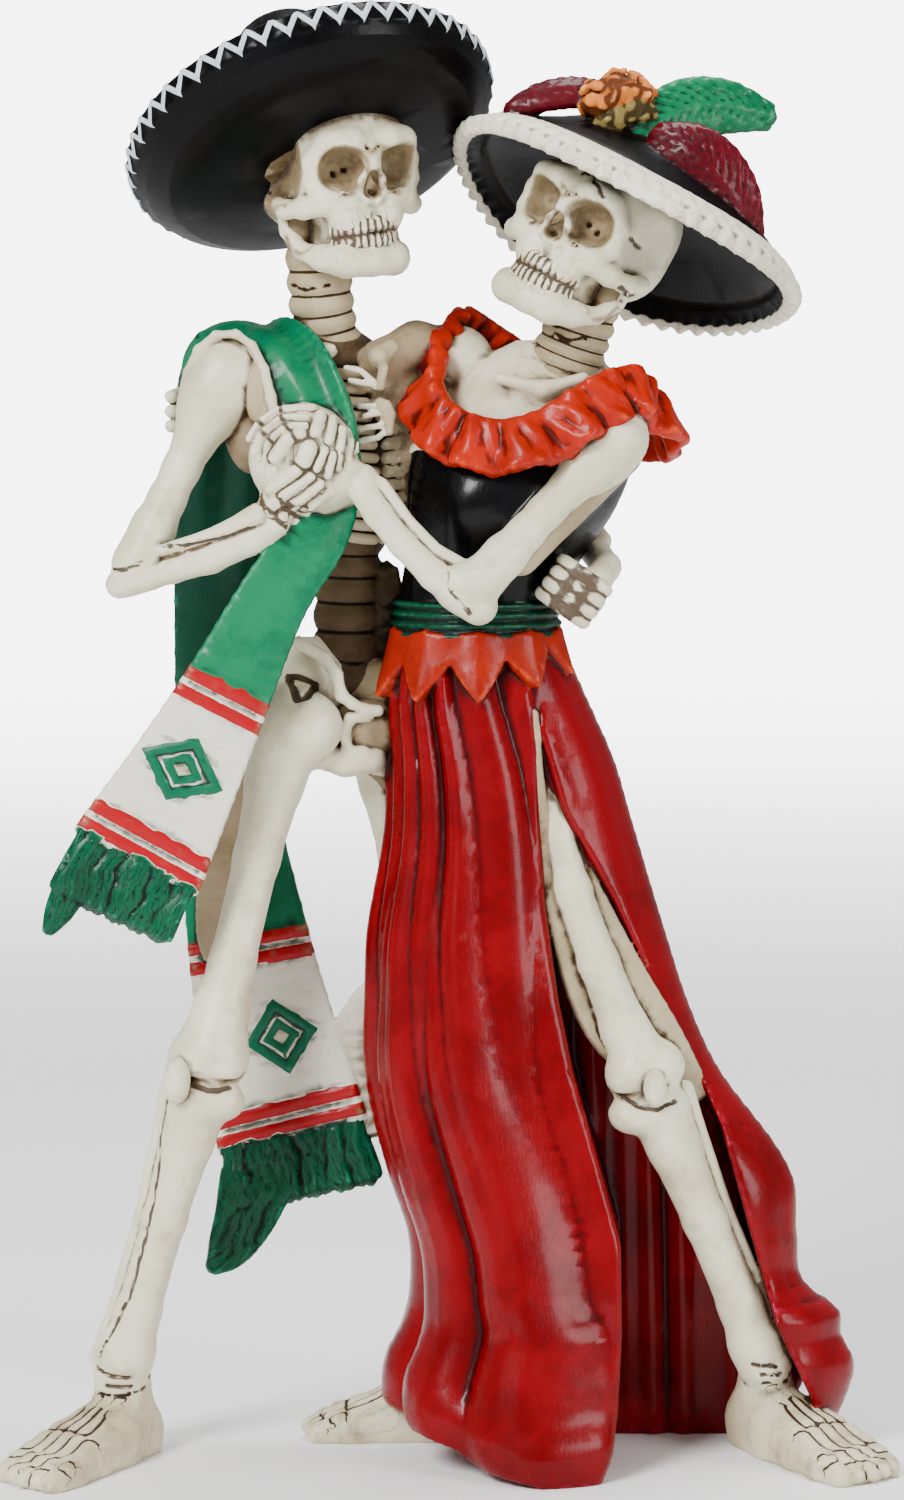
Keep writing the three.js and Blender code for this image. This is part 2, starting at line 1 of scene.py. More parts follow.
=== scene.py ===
import math
import bpy
import numpy as np
import openvdb
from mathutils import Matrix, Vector


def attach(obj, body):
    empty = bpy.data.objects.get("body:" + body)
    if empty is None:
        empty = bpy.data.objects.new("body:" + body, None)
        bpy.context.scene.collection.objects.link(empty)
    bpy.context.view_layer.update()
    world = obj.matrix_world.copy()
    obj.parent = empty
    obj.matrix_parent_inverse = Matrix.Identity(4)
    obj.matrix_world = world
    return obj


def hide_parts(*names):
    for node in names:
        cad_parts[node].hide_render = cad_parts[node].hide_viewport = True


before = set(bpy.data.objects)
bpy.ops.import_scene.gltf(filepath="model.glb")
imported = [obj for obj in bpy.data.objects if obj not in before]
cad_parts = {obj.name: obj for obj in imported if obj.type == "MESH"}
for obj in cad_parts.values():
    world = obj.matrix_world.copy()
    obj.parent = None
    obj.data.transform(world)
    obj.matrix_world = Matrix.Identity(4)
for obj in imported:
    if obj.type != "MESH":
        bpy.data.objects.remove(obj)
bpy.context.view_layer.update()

# Skulls: cast in resin with the rest of the couple, in one mould, and painted ivory over a brown
# wash. Each form is a distance in millimetres from a point to it, kept until all are poured. The
# couple is drawn about the camera's middle line and then moved onto the solid.
to_frame = np.array([0.9555, -2.1056, 0.0])
volume_low = np.array([-84.0, -46.0, -2.0])
far = 5.0
forms = []


def form(paint, distance, low, high, blend=0.6, cut=False, pattern=None, tone=0):
    low, high = np.asarray(low, float), np.asarray(high, float)
    forms.append((paint, distance, low, high, blend, cut, pattern, tone))


def soft_min(a, b, blend):
    h = np.maximum(blend - np.abs(a - b), 0) / blend
    return np.minimum(a, b) - h * h * (blend / 4)


# Bones are bars between stops of [x, y, z, radius]; knobs and hollows are ovals.
def limb(paint, stops, blend=0.8, cut=False, tone=0):
    for start, end in zip(stops[:-1], stops[1:]):
        a, ra = np.array(start[:3], np.float32), start[3]
        b, rb = np.array(end[:3], np.float32), end[3]
        way = b - a
        length2 = max(float(way @ way), 1e-6)

        def distance(x, y, z, a=a, ra=ra, rb=rb, way=way, length2=length2):
            px, py, pz = x - a[0], y - a[1], z - a[2]
            t = np.clip((px * way[0] + py * way[1] + pz * way[2]) / length2, 0, 1)
            off = (px - t * way[0]) ** 2 + (py - t * way[1]) ** 2 + (pz - t * way[2]) ** 2
            return np.sqrt(off) - (ra + (rb - ra) * t)

        wide = max(ra, rb)
        form(paint, distance, np.minimum(a, b) - wide, np.maximum(a, b) + wide, blend, cut, None, tone)


def turned(x, y, z):
    """Turn about z, then x, then y, in degrees."""
    cx, cy, cz = (math.cos(math.radians(v)) for v in (x, y, z))
    sx, sy, sz = (math.sin(math.radians(v)) for v in (x, y, z))
    about_z = np.array([[cz, -sz, 0], [sz, cz, 0], [0, 0, 1]])
    about_x = np.array([[1, 0, 0], [0, cx, -sx], [0, sx, cx]])
    about_y = np.array([[cy, 0, sy], [0, 1, 0], [-sy, 0, cy]])
    return about_y @ about_x @ about_z


def oval(paint, centre, radii, turn=np.eye(3), blend=0.8, cut=False, power=2.0, tone=0):
    centre, radii = np.array(centre, float), np.array(radii, float)
    back = turn.T.astype(np.float32)

    def distance(x, y, z):
        p = (x - centre[0], y - centre[1], z - centre[2])
        u = [(back[i, 0] * p[0] + back[i, 1] * p[1] + back[i, 2] * p[2]) / radii[i] for i in range(3)]
        if power == 2.0:
            near = np.sqrt(u[0] ** 2 + u[1] ** 2 + u[2] ** 2)
        else:
            near = (np.abs(u[0]) ** power + np.abs(u[1]) ** power + np.abs(u[2]) ** power) ** (1 / power)
        slope = np.sqrt(sum((u[i] / radii[i]) ** 2 for i in range(3)))
        return near * (near - 1) / np.maximum(slope, 1e-4)

    half = np.sqrt(((turn * radii) ** 2).sum(1)) * (1.0 if power == 2.0 else 1.15)
    form(paint, distance, centre - half, centre + half, blend, cut, None, tone)


# Carved lines are given as seen from the front, by [x, z], and each finds its own depth in what
# has been built up so far. A stain is a brown film of paint, and adds no shape.
def carve(points, size):
    depths = np.arange(volume_low[1], 30, 0.2, dtype=np.float32)
    stops = []
    for x, z in points:
        best = np.full(len(depths), far, np.float32)
        for kind, distance, low, high, blend, cut, *_ in forms:
            if kind != "stain" and low[0] - 1 < x < high[0] + 1 and low[2] - 1 < z < high[2] + 1:
                near = distance(np.full_like(depths, x), depths, np.full_like(depths, z))
                best = np.maximum(best, -near) if cut else soft_min(best, near, blend)
        stops.append([x, float(depths[np.argmax(best < 0)]), z, size])
    limb("bone", stops, blend=0.15, cut=True, tone=2)


def add(tree, kind, inputs=(), out=0, **settings):
    """Add a node with its settings and links, and give the output that is used."""
    made = tree.nodes.new("ShaderNode" + kind)
    for name, value in settings.items():
        setattr(made, name, value)
    for key, value in inputs.items() if isinstance(inputs, dict) else enumerate(inputs):
        if isinstance(value, bpy.types.NodeSocket):
            tree.links.new(value, made.inputs[key])
        else:
            made.inputs[key].default_value = value
    return made.outputs[out] if made.outputs else None


def rgb(code):
    """A colour written as red, green and blue in hex, made linear for the shader."""
    parts = [int(code[i:i + 2], 16) / 255 for i in (1, 3, 5)]
    return (*(p / 12.92 if p <= 0.04045 else ((p + 0.055) / 1.055) ** 2.4 for p in parts), 1.0)


soft = {"interpolation_type": "SMOOTHSTEP"}
mixed = {"out": 2, "data_type": "RGBA"}
pit_depth, stroke_depth = 0.3, 0.12


# Every paint is a colour with a dark wash in the hollows, which is also painted shade there, a
# dry-brushed light on the edges, which is also a painted highlight, a slow change of tint, small pits
# and a varied gloss. Noise scales are in waves per millimetre.
def coating(name, main, second, wash, light, gloss, washed=1.0, brushed_highlight=0.5, coat=0.0, pattern=None,
            shine=0.12, film=None, patchy=0.12):
    made = bpy.data.materials.new(name)
    made.use_nodes = True
    tree = made.node_tree
    tree.nodes.clear()
    place = add(tree, "TexCoord", out="Object")
    at = add(tree, "VectorMath", (place, (1000, 1000, 1000)), operation="MULTIPLY")
    crevice_at, hollow_at, seam_at, recess_at = (
        add(tree, "Attribute", out="Fac", attribute_name=fact)
        for fact in ("crevice", "hollow", "seam", "recess")
    )
    broad, grain, fine, cloudy = (
        add(tree, "TexNoise", {"Vector": at, "Scale": scale, "Detail": detail, "Roughness": rough})
        for scale, detail, rough in ((0.07, 2.0, 0.55), (0.55, 4.0, 0.65), (2.6, 3.0, 0.6), (0.16, 4.0, 0.6))
    )

    # The main colour drifts into the second, and may carry a painted pattern
    half_grain = add(tree, "Math", (grain, 0.5), operation="MULTIPLY")
    tint = add(tree, "Math", (broad, half_grain), operation="ADD")
    tint = add(tree, "MapRange", (tint, 0.6, 0.95), **soft)
    colour = add(tree, "Mix", {0: tint, 6: rgb(main), 7: rgb(second)}, **mixed)
    if pattern:
        colour = pattern(tree, at, colour)

    # Where the wash and painted shade sit, and where edges take their painted highlight:
    # [fact, raggedness, where it starts, where it is full, most of it]
    uneven = add(tree, "Math", (grain, 0.5), operation="SUBTRACT")
    uneven = add(tree, "Math", (uneven, 0.22), operation="MULTIPLY")
    seam_off = add(tree, "Math", (seam_at,), operation="ABSOLUTE")
    shares = []
    for fact, ragged, start, full, most in (
        (crevice_at, 1.0, -0.03, -0.22, 1.0), (seam_off, 0.8, 0.26, 0.1, 1.0),
        (hollow_at, 3.0, -0.05, -0.85, 0.75), (recess_at, 4.0, 0.7, 0.0, 0.95),
        (crevice_at, 1.0, 0.12, 0.4, 1.0),
    ):
        shift = add(tree, "Math", (uneven, ragged), operation="MULTIPLY")
        moved = add(tree, "Math", (fact, shift), operation="ADD")
        shares.append(add(tree, "MapRange", (moved, start, full, 0.0, most), **soft))
    near, line, wide, sunk, edge = shares
    patches = add(tree, "MapRange", (cloudy, 0.5, 0.72, 0.0, patchy), **soft)
    # Broad hollows take the film colour as painted shade, with the brown film of sunk places and random
    # patches
    film_and_shade = add(tree, "Math", (wide, sunk), operation="MAXIMUM")
    film_and_shade = add(tree, "Math", (film_and_shade, patches), operation="MAXIMUM")
    film_and_shade = add(tree, "Math", (film_and_shade, washed), operation="MULTIPLY")
    # Painted shade: the deepest hollows, such as the eye sockets, go further towards the wash colour
    deep = add(tree, "MapRange", (hollow_at, -0.55, -1.5, 0.0, 0.6), **soft)
    # Fine crevices go dark with the wash, which is also painted shade there; seams and carved cracks are
    # painted dark
    dark = add(tree, "Math", (near, line), operation="MAXIMUM")
    dark = add(tree, "Math", (dark, washed), operation="MULTIPLY")
    # Painted highlight: convex edges take the light colour, broken up by the grain as a dry brush leaves it
    patchy_highlight = add(tree, "MapRange", (grain, 0.4, 0.62, 0.0, brushed_highlight), **soft)
    edge = add(tree, "Math", (edge, patchy_highlight), operation="MULTIPLY")
    pit = add(tree, "MapRange", (fine, 0.33, 0.26, 0.0, pit_depth), **soft)
    for share, shade in ((film_and_shade, film or wash), (deep, wash), (dark, wash), (edge, light), (pit, wash)):
        colour = add(tree, "Mix", {0: share, 6: colour, 7: rgb(shade)}, **mixed)

    # Upright brush strokes, fine grain and pits in the surface
    stretched = add(tree, "VectorMath", (at, (1.6, 1.6, 0.35)), operation="MULTIPLY")
    strokes = add(tree, "TexNoise", {"Vector": stretched, "Scale": 1.4, "Detail": 2.0, "Roughness": 0.55})
    half_fine = add(tree, "Math", (fine, 0.5), operation="MULTIPLY")
    height = add(tree, "Math", (half_fine, strokes), operation="ADD")
    height = add(tree, "Math", (height, pit), operation="SUBTRACT")
    bump = add(tree, "Bump", {"Height": height, "Strength": stroke_depth, "Distance": 0.0004})
    dull = add(tree, "Math", (dark, 0.15), operation="MULTIPLY")
    gloss_at = add(tree, "Math", (grain, 0.2), operation="MULTIPLY")
    gloss_at = add(tree, "Math", (gloss - 0.08, gloss_at), operation="ADD")
    gloss_at = add(tree, "Math", (gloss_at, dull), operation="ADD")
    surface = add(tree, "BsdfPrincipled", {
        "Base Color": colour, "Roughness": gloss_at, "Normal": bump, "Specular IOR Level": shine,
        "Coat Weight": coat, "Coat Roughness": 0.14,
    })
    add(tree, "OutputMaterial", {"Surface": surface})
    return made


coats = {}
# Ivory acrylic paint wiped with brown: satin, pale on the edges as a painted highlight, and dark in the
# lines with the wash and with painted shade
coats["bone"] = coating(
    "ivory paint with brown wash", "#dad5ba", "#c8c1a2", "#38240e", "#f6f3e8", 0.4, 0.95, 0.6, 0.06,
    shine=0.3, film="#7c6644", patchy=0.3,
)
# Cast resin with only a thin wash on it: dull and beige
coats["unpainted resin"] = coating(
    "thin beige wash on resin", "#8c7c62", "#74634a", "#32200e", "#b5a88c", 0.6, 1.0, 0.5, film="#5c4a32",
)


# Each skull looks along its own -y. Crown, brow, cheek arches, jaw and teeth stand out; sockets,
# nose, temples and the hollows of the cheeks are sunk in.
def skull(centre, angles, smile, temple_wash, teeth):
    turn = turned(*angles)
    centre = np.array(centre)

    def put(stops):
        return [[*(centre + turn @ np.array(stop[:3])), *stop[3:]] for stop in stops]

    def knob(at, radii, own=(0, 0, 0), **more):
        oval("bone", centre + turn @ np.array(at), radii, turn @ turned(*own), **more)

    knob((0, 5.6, 4.8), (11.4, 13.8, 11.3), blend=1.5)
    knob((0, 9.0, -0.6), (10.2, 9.6, 8.2), blend=2.0)
    knob((0, -3.2, 6.6), (9.8, 7.6, 8.2), blend=3.0)
    knob((0, -3.6, -3.6), (6.8, 6.4, 7.4), blend=2.0)
    knob((0, 0.6, -7.6), (6.6, 7.0, 5.4), blend=1.5)
    for side in (-1, 1):
        knob((side * 7.0, -2.8, -0.8), (3.4, 4.6, 4.2), blend=1.0)
        knob((side * 11.7, 1.0, 2.6), (2.9, 6.6, 7.0), cut=True, blend=1.2, tone=temple_wash)
        knob((side * 8.6, -1.4, -8.2), (2.6, 3.6, 3.6), cut=True, blend=0.8, tone=1)
        brow = [(1.2, -10.4, 5.4, 1.4), (3.6, -10.8, 6.9, 1.7), (6.8, -9.6, 6.6, 1.8), (9.0, -7.0, 3.6, 1.5)]
        rim = [(9.0, -7.0, 3.6, 1.5), (9.2, -6.8, 0.2, 1.3), (7.6, -8.4, -2.4, 1.3), (3.8, -10.0, -2.0, 1.0)]
        arch = [(7.4, -7.6, -3.4, 2.1), (10.0, -5.0, -4.0, 1.7), (11.2, -0.6, -4.0, 1.5),
                (11.2, 4.0, -2.8, 1.5)]
        jaw = [
            (0.0, -8.8, -13.0, 2.8), (4.4, -8.2, -13.0, 2.8), (6.8, -4.8, -12.4, 2.2),
            (8.6, -0.4, -11.0, 1.4), (9.8, 2.4, -7.6, 1.1), (10.2, 3.2, -3.4, 1.1),
        ]
        for line, blend in ((brow, 2.0), (rim, 1.2), (arch, 1.0), (jaw, 0.7)):
            limb("bone", put([(side * x, *rest) for x, *rest in line]), blend=blend)
        knob((side * 3.6, -8.0, -5.6), (3.0, 3.0, 3.2), blend=1.5)
        knob((side * 5.1, -11.0, 2.2), (4.0, 5.6, 3.5), (0, side * -8, side * 14), cut=True, blend=0.45,
             power=2.5, tone=1)
        nostril = [(0.3, -11.6, 2.3, 0.75), (1.8, -10.8, 0.2, 0.7), (2.0, -10.4, -1.8, 0.7),
                   (0.9, -10.6, -3.2, 0.6)]
        limb("bone", put([(side * x, *rest) for x, *rest in nostril]), blend=0.5)
        knob((side * 4.4, -5.6, 1.4), (0.6, 1.6, 0.6), cut=True, blend=0.2, tone=1)
        knob((side * 2.6, -5.8, 2.0), (0.45, 1.4, 0.5), cut=True, blend=0.2, tone=1)
        knob((side * 4.4, -10.6, -1.9), (1.0, 1.7, 0.26), (0, side * 10, 0), cut=True, blend=0.2, tone=1)
        oval("unpainted resin", centre + turn @ np.array((side * 7.6, 2.6, -7.2)), (2.6, 2.6, 4.6), turn,
             blend=0.4)
    limb("bone", put([(0, -9.8, 5.4, 1.7), (0, -11.4, 3.4, 1.2), (0, -12.0, 2.2, 0.8)]), blend=1.0)
    knob((0, -11.0, -0.3), (1.4, 3.6, 2.2), cut=True, blend=0.35, tone=1)
    for side in (-1, 1):
        knob((side * 0.8, -10.8, -1.7), (0.95, 3.0, 1.0), cut=True, blend=0.3, tone=1)
    for x, z, lean in ((-1.1, 5.4, 35), (0.1, 5.0, -38), (1.2, 5.5, 32)):
        knob((x, -11.4, z), (0.8, 1.5, 0.2), (0, lean, 0), cut=True, blend=0.15, tone=1)

    # The tooth rows stand on one arch in plan, with the mouth's line between them
    tooth_step = 11.6
    arch_half, arch_deep, arch_seat = 5.9, 5.3, -5.3

    def on_arch(degrees, z, out, radius):
        bend = math.radians(degrees)
        x = math.sin(bend) * (arch_half + out)
        y = arch_seat - math.cos(bend) * (arch_deep + out)
        return x, y, z + smile * math.sin(bend), radius

    knob((0, -5.2, -8.4), (5.7, 5.0, 4.6), blend=0.8, power=3.0)
    for row, (top, base, size) in enumerate(((-6.5, -7.9, 0.62), (-9.1, -10.3, 0.55))):
        for tooth in teeth:
            degrees = tooth_step * (tooth + 0.5)
            crown = [on_arch(degrees, top, 0.0, size * 0.9), on_arch(degrees, base, 0.25 - 0.1 * row, size)]
            limb("bone", put(crown), blend=0.1, tone=1 if (tooth + row) % 2 else -1)
    mouth = [on_arch(tooth_step * tooth, -8.5, 0.9, 0.27) for tooth in (*teeth, teeth[-1] + 1)]
    limb("bone", put(mouth), blend=0.15, cut=True, tone=1)


his_first = len(forms)
skull((-18.3, -2.4, 215.5), (0, -3, 28), 0.6, 1, range(-7, 4))
skull((22.4, -4.5, 206.4), (0, 27, -30), 0, 0, range(-5, 7))
oval("stain", [-28.6, -6.5, 221.5], (5.0, 5.0, 5.6))
oval("stain", [-32.0, -1.0, 214.0], (5.0, 6.0, 8.0))

# Cracks in her brow, temple and cheek, and small pits in his temple
carve([(21.5, 217.0), (22.6, 217.2), (23.4, 215.6), (24.2, 214.8), (24.3, 213.8), (25.2, 212.8)], 0.27)
carve([(22.6, 217.2), (23.8, 217.2), (24.2, 216.2)], 0.25)
carve([(29.6, 206.4), (30.4, 205.2), (31.6, 204.4)], 0.3)
carve([(27.8, 198.2), (28.8, 197.2), (30.2, 196.6), (31.6, 196.0)], 0.45)
carve([(28.4, 196.0), (29.8, 195.0), (31.0, 195.2)], 0.4)
for x, z in ((-31.6, 217.4), (-30.2, 219.8), (-28.6, 222.4), (-30.8, 213.8), (-26.4, 224.6), (-32.4, 215.2)):
    carve([(x, z), (x + 0.4, z - 0.2)], 0.36)


# Necks and the man's loin: stacks of resin rings, cast with the bodies and washed brown, with dark
# seams where their tone changes. Their darker paint is also painted shade, as they sit set back
# in the figure.
def smooth_line(at, keys, values):
    """A smooth curve through the values, with its slopes taken from their neighbours."""
    slopes = np.gradient(values, keys)
    i = np.clip(np.searchsorted(keys, at, "right") - 1, 0, len(keys) - 2)
    h = keys[i + 1] - keys[i]
    t = (at - keys[i]) / h
    a, b = values[i], values[i + 1]
    return (
        (2 * t ** 3 - 3 * t ** 2 + 1) * a + (t ** 3 - 2 * t ** 2 + t) * h * slopes[i]
        + (3 * t ** 2 - 2 * t ** 3) * b + (t ** 3 - t ** 2) * h * slopes[i + 1]
    )


def column(paint, stops, radius, rings, bulge, toned):
    stops = np.array(stops, float)
    at, keys = np.linspace(0, len(stops) - 1, rings + 1), np.arange(len(stops))
    line = np.array([smooth_line(at, keys, stops[:, i]) for i in range(3)]).T
    for i in range(rings):
        a, b = line[i], line[i + 1]
        length = float(np.linalg.norm(b - a))
        way = (b - a) / length

        def distance(x, y, z, a=a, way=way, length=length):
            px, py, pz = x - a[0], y - a[1], z - a[2]
            on = px * way[0] + py * way[1] + pz * way[2]
            out = np.sqrt(np.maximum(px * px + py * py + pz * pz - on * on, 0))
            swell = bulge * (1 - (2 * on / length - 1) ** 2)
            return np.maximum(out - radius - swell, np.maximum(-on, on - length))

        wide = radius + bulge
        form(paint, distance, np.minimum(a, b) - wide, np.maximum(a, b) + wide, 0.1, tone=toned * (-1) ** i)
    limb(paint, [[*p, radius * 0.9] for p in line], blend=0.2)


# The same ivory under more wash, matt and olive, on inner bones and on webs set back in the figure:
# its darker tone is also painted shade there
coats["aged bone"] = coating(
    "ivory paint under olive wash", "#a89a7c", "#8f8062", "#2c1c0c", "#cfc4a8", 0.5, 1.0, 0.6, film="#705c3c",
)
# Resin with the brown wash alone: matt, nearly as dark as earth, on the loin and the core of the rib
# cage, set back in the figure, where the darkness is also painted shade
coats["umber wash"] = coating(
    "umber wash on resin", "#574631", "#40311f", "#100803", "#9c8a6c", 0.55, 1.0, 0.6,
)
column("aged bone", [[-22.6, 1.5, 205], [-22.2, 2, 197], [-21.4, 3, 190.5], [-20, 3.5, 184]], 4.9, 6, 0.7, 1)
column("aged bone", [[23.4, -1.5, 199], [21.4, -1, 191.6], [19.4, -0.5, 186], [17.6, 0, 181]], 5.4, 8, 0.6, 1)
column("umber wash", [[-17.2, 4, 163], [-17.8, 4.4, 147], [-18.2, 5, 124]], 5.0, 9, 0.7, 1)
for points in ([(-27.0, 198.6), (-24.6, 197.6), (-20.6, 198.4)],
               [(17.0, 190.6), (19.4, 189.2), (22.4, 189.6)]):
    carve(points, 0.26)


# Sombrero: turned like a dish with an upturned rim and a tall crown, cast onto the back of his
# head and painted black. A zigzag braid is raised on the outside of its rim.
def polygon_distance(r, h, outline):
    best = np.full(np.broadcast(r, h).shape, 1e6, np.float32)
    inside = np.zeros(best.shape, bool)
    for (r0, h0), (r1, h1) in zip(outline, outline[1:] + outline[:1]):
        er, eh = r1 - r0, h1 - h0
        wr, wh = r - r0, h - h0
        t = np.clip((wr * er + wh * eh) / (er * er + eh * eh), 0, 1)
        best = np.minimum(best, (wr - t * er) ** 2 + (wh - t * eh) ** 2)
        if eh != 0:
            crosses = (h0 > h) != (h1 > h)
            inside ^= crosses & (r < r0 + (h - h0) * er / eh)
    best = np.sqrt(best)
    return np.where(inside, -best, best)


def basis(x_axis, up):
    up = np.array(up, float) / np.linalg.norm(up)
    x_axis = np.array(x_axis, float)
    x_axis = x_axis - up * (up @ x_axis)
    x_axis /= np.linalg.norm(x_axis)
    return np.stack([x_axis, np.cross(up, x_axis), up], 1)


def turned_hat(paint, outline, centre, turn, radius, saddle, relief, round_off):
    centre = np.array(centre, float)
    outline = [(float(r), float(h)) for r, h in outline]

    def distance(x, y, z):
        p = (x - centre[0], y - centre[1], z - centre[2])
        lx, ly, lz = (turn[0, i] * p[0] + turn[1, i] * p[1] + turn[2, i] * p[2] for i in range(3))
        lz = lz - saddle * (lx * lx - ly * ly) / radius ** 2
        r = np.sqrt(lx * lx + ly * ly)
        angle = np.arctan2(ly, lx)
        return relief(polygon_distance(r, lz, outline) - round_off, r, angle, lz)

    corners = np.array([[sx * radius, sy * radius, h] for sx in (-1, 1) for sy in (-1, 1) for h in (-6, 30)])
    reach = centre + corners @ turn.T
    form(paint, distance, reach.min(0) + 3, reach.max(0) - 3, 0.5)


sombrero_radius = 31.6
sombrero_centre = [-21.6, -3.2, 219.2]
zigzags = 46
braid_low, braid_high = 5.4, 8.7
braid_start, braid_swing = 0.06, 0.88
braid_half, braid_slope = 0.62, 2.3
sombrero_turn = basis([0.9, 0.1, -0.3], [-0.3, 0.52, 0.8])


def braid(angle, height):
    """How deep a point is inside the zigzag line, in millimetres."""
    part = (height - braid_low) / (braid_high - braid_low)
    wave = np.abs((angle * zigzags / math.pi) % 2 - 1)
    return braid_half - np.abs(part - braid_start - braid_swing * wave) * braid_slope


def sombrero_relief(d, r, angle, height):
    on_rim = np.clip((r - 28.6) / 1.2, 0, 1) * np.clip((height - braid_low + 1) / 0.8, 0, 1)
    ledge = 0.3 * np.clip((r - 29.5) / 1.0, 0, 1) * np.clip((height - braid_low + 0.8) / 0.4, 0, 1)
    return d - ledge - 0.5 * on_rim * np.clip(braid(angle, height) / 0.35, 0, 1)


def hat_spot(tree, at, centre, turn):
    """The angle round a hat, the distance from its middle line and the height above its foot."""
    away = add(tree, "VectorMath", (at, tuple(np.array(centre) + to_frame)), operation="SUBTRACT")
    right, behind, height = (
        add(tree, "VectorMath", (away, tuple(turn[:, k])), "Value", operation="DOT_PRODUCT") for k in range(3)
    )
    squares = [add(tree, "Math", (side, side), operation="MULTIPLY") for side in (right, behind)]
    radius = add(tree, "Math", (add(tree, "Math", squares, operation="ADD"),), operation="SQRT")
    return add(tree, "Math", (behind, right), operation="ARCTAN2"), radius, height


def silver_braid(tree, at, colour):
    angle, radius, height = hat_spot(tree, at, sombrero_centre, sombrero_turn)
    wave = add(tree, "Math", (angle, zigzags / math.pi), operation="MULTIPLY")
    wave = add(tree, "Math", (wave, 1.0), operation="PINGPONG")
    wave = add(tree, "Math", (1.0, wave), operation="SUBTRACT")
    wave = add(tree, "Math", (wave, braid_swing), operation="MULTIPLY")
    part = add(tree, "Math", (height, braid_low), operation="SUBTRACT")
    part = add(tree, "Math", (part, braid_high - braid_low), operation="DIVIDE")
    part = add(tree, "Math", (part, braid_start), operation="SUBTRACT")
    off = add(tree, "Math", (part, wave), operation="SUBTRACT")
    off = add(tree, "Math", (off,), operation="ABSOLUTE")
    off = add(tree, "Math", (off, braid_slope), operation="MULTIPLY")
    depth = add(tree, "Math", (braid_half, off), operation="SUBTRACT")
    inside_line = add(tree, "MapRange", (depth, 0.02, 0.16), **soft)
    on_rim = add(tree, "MapRange", (radius, 28.4, 29.0), **soft)
    shown = add(tree, "Math", (inside_line, on_rim), operation="MULTIPLY")
    return add(tree, "Mix", {0: shown, 6: colour, 7: rgb("#b9c6cf")}, **mixed)


# Black satin paint: an even soft shine. The raised braid is picked out in silver grey
coats["black satin"] = coating(
    "black satin paint", "#020203", "#060608", "#010101", "#141518", 0.34, 0.6, 0.25, 0.06, silver_braid,
    shine=0.06,
)


turned_hat(
    "black satin", [
        (0, 0.6), (21, 0.6), (26.4, 1.4), (29.4, 3.4), (30.6, 5.6), (30.8, 8.2), (29.6, 8.2), (28.2, 6.4),
        (25, 3.8), (20, 2.4), (13.4, 2.4), (11.4, 4.6), (10.6, 14), (9.4, 21), (6.6, 26.4), (0, 28.2),
    ],
    sombrero_centre, sombrero_turn, sombrero_radius, 0.0, sombrero_relief, 0.5,
)

# The back of his head swells up behind the crown, and the satin runs over it above the brim
his_head = forms[his_first:his_first + 3]
satin_over, brim_inside = 0.7, 1.4


def over_his_head(x, y, z):
    height = sum(sombrero_turn[i, 2] * (p - sombrero_centre[i]) for i, p in enumerate((x, y, z)))
    head = np.minimum.reduce([distance(x, y, z) for _, distance, *_ in his_head])
    return np.maximum(head - satin_over, brim_inside - height)


form(
    "black satin", over_his_head, np.min([low for _, _, low, *_ in his_head], 0) - satin_over,
    np.max([high for _, _, _, high, *_ in his_head], 0) + satin_over, 1.0,
)


# Her hat: the same casting and black paint, but it droops more, and its brim is edged with a cream
# band cut into small points. Feathers and a flower of painted resin lie against the crown.
laced_turn = basis([0.887, 0, -0.462], [0.446, 0.31, 0.84])
laced_centre = [28.5, -0.5, 207.4]
laced_radius, laced_droop = 31.4, 2.4
lace_start = 27.0
points_round = 58


def laced_relief(d, r, angle, height):
    wave = np.abs((angle * points_round / math.pi) % 2 - 1)
    on_band = np.clip((r - lace_start - 0.2) / 0.5, 0, 1)
    cut = np.clip((r - 30.2) / 0.8, 0, 1) * 1.1 * (1 - wave)
    groove = 0.4 * np.exp(-((r - lace_start) / 0.4) ** 2)
    tooth = 0.35 * np.clip((r - 28.4 - 2.0 * wave) / 0.4, 0, 1)
    return d + cut + groove - on_band * (0.35 + tooth)


turned_hat(
    "laced hat", [
        (0, 10), (13, 9), (20, 6.6), (27, 2.2), (31.2, -1.0), (laced_radius, -0.2), (26.6, 4.0),
        (19, 9.4), (12.8, 14.4), (10.8, 17.8), (6.8, 20.2), (0, 20.8),
    ],
    laced_centre, laced_turn, laced_radius, laced_droop, laced_relief, 0.5,
)


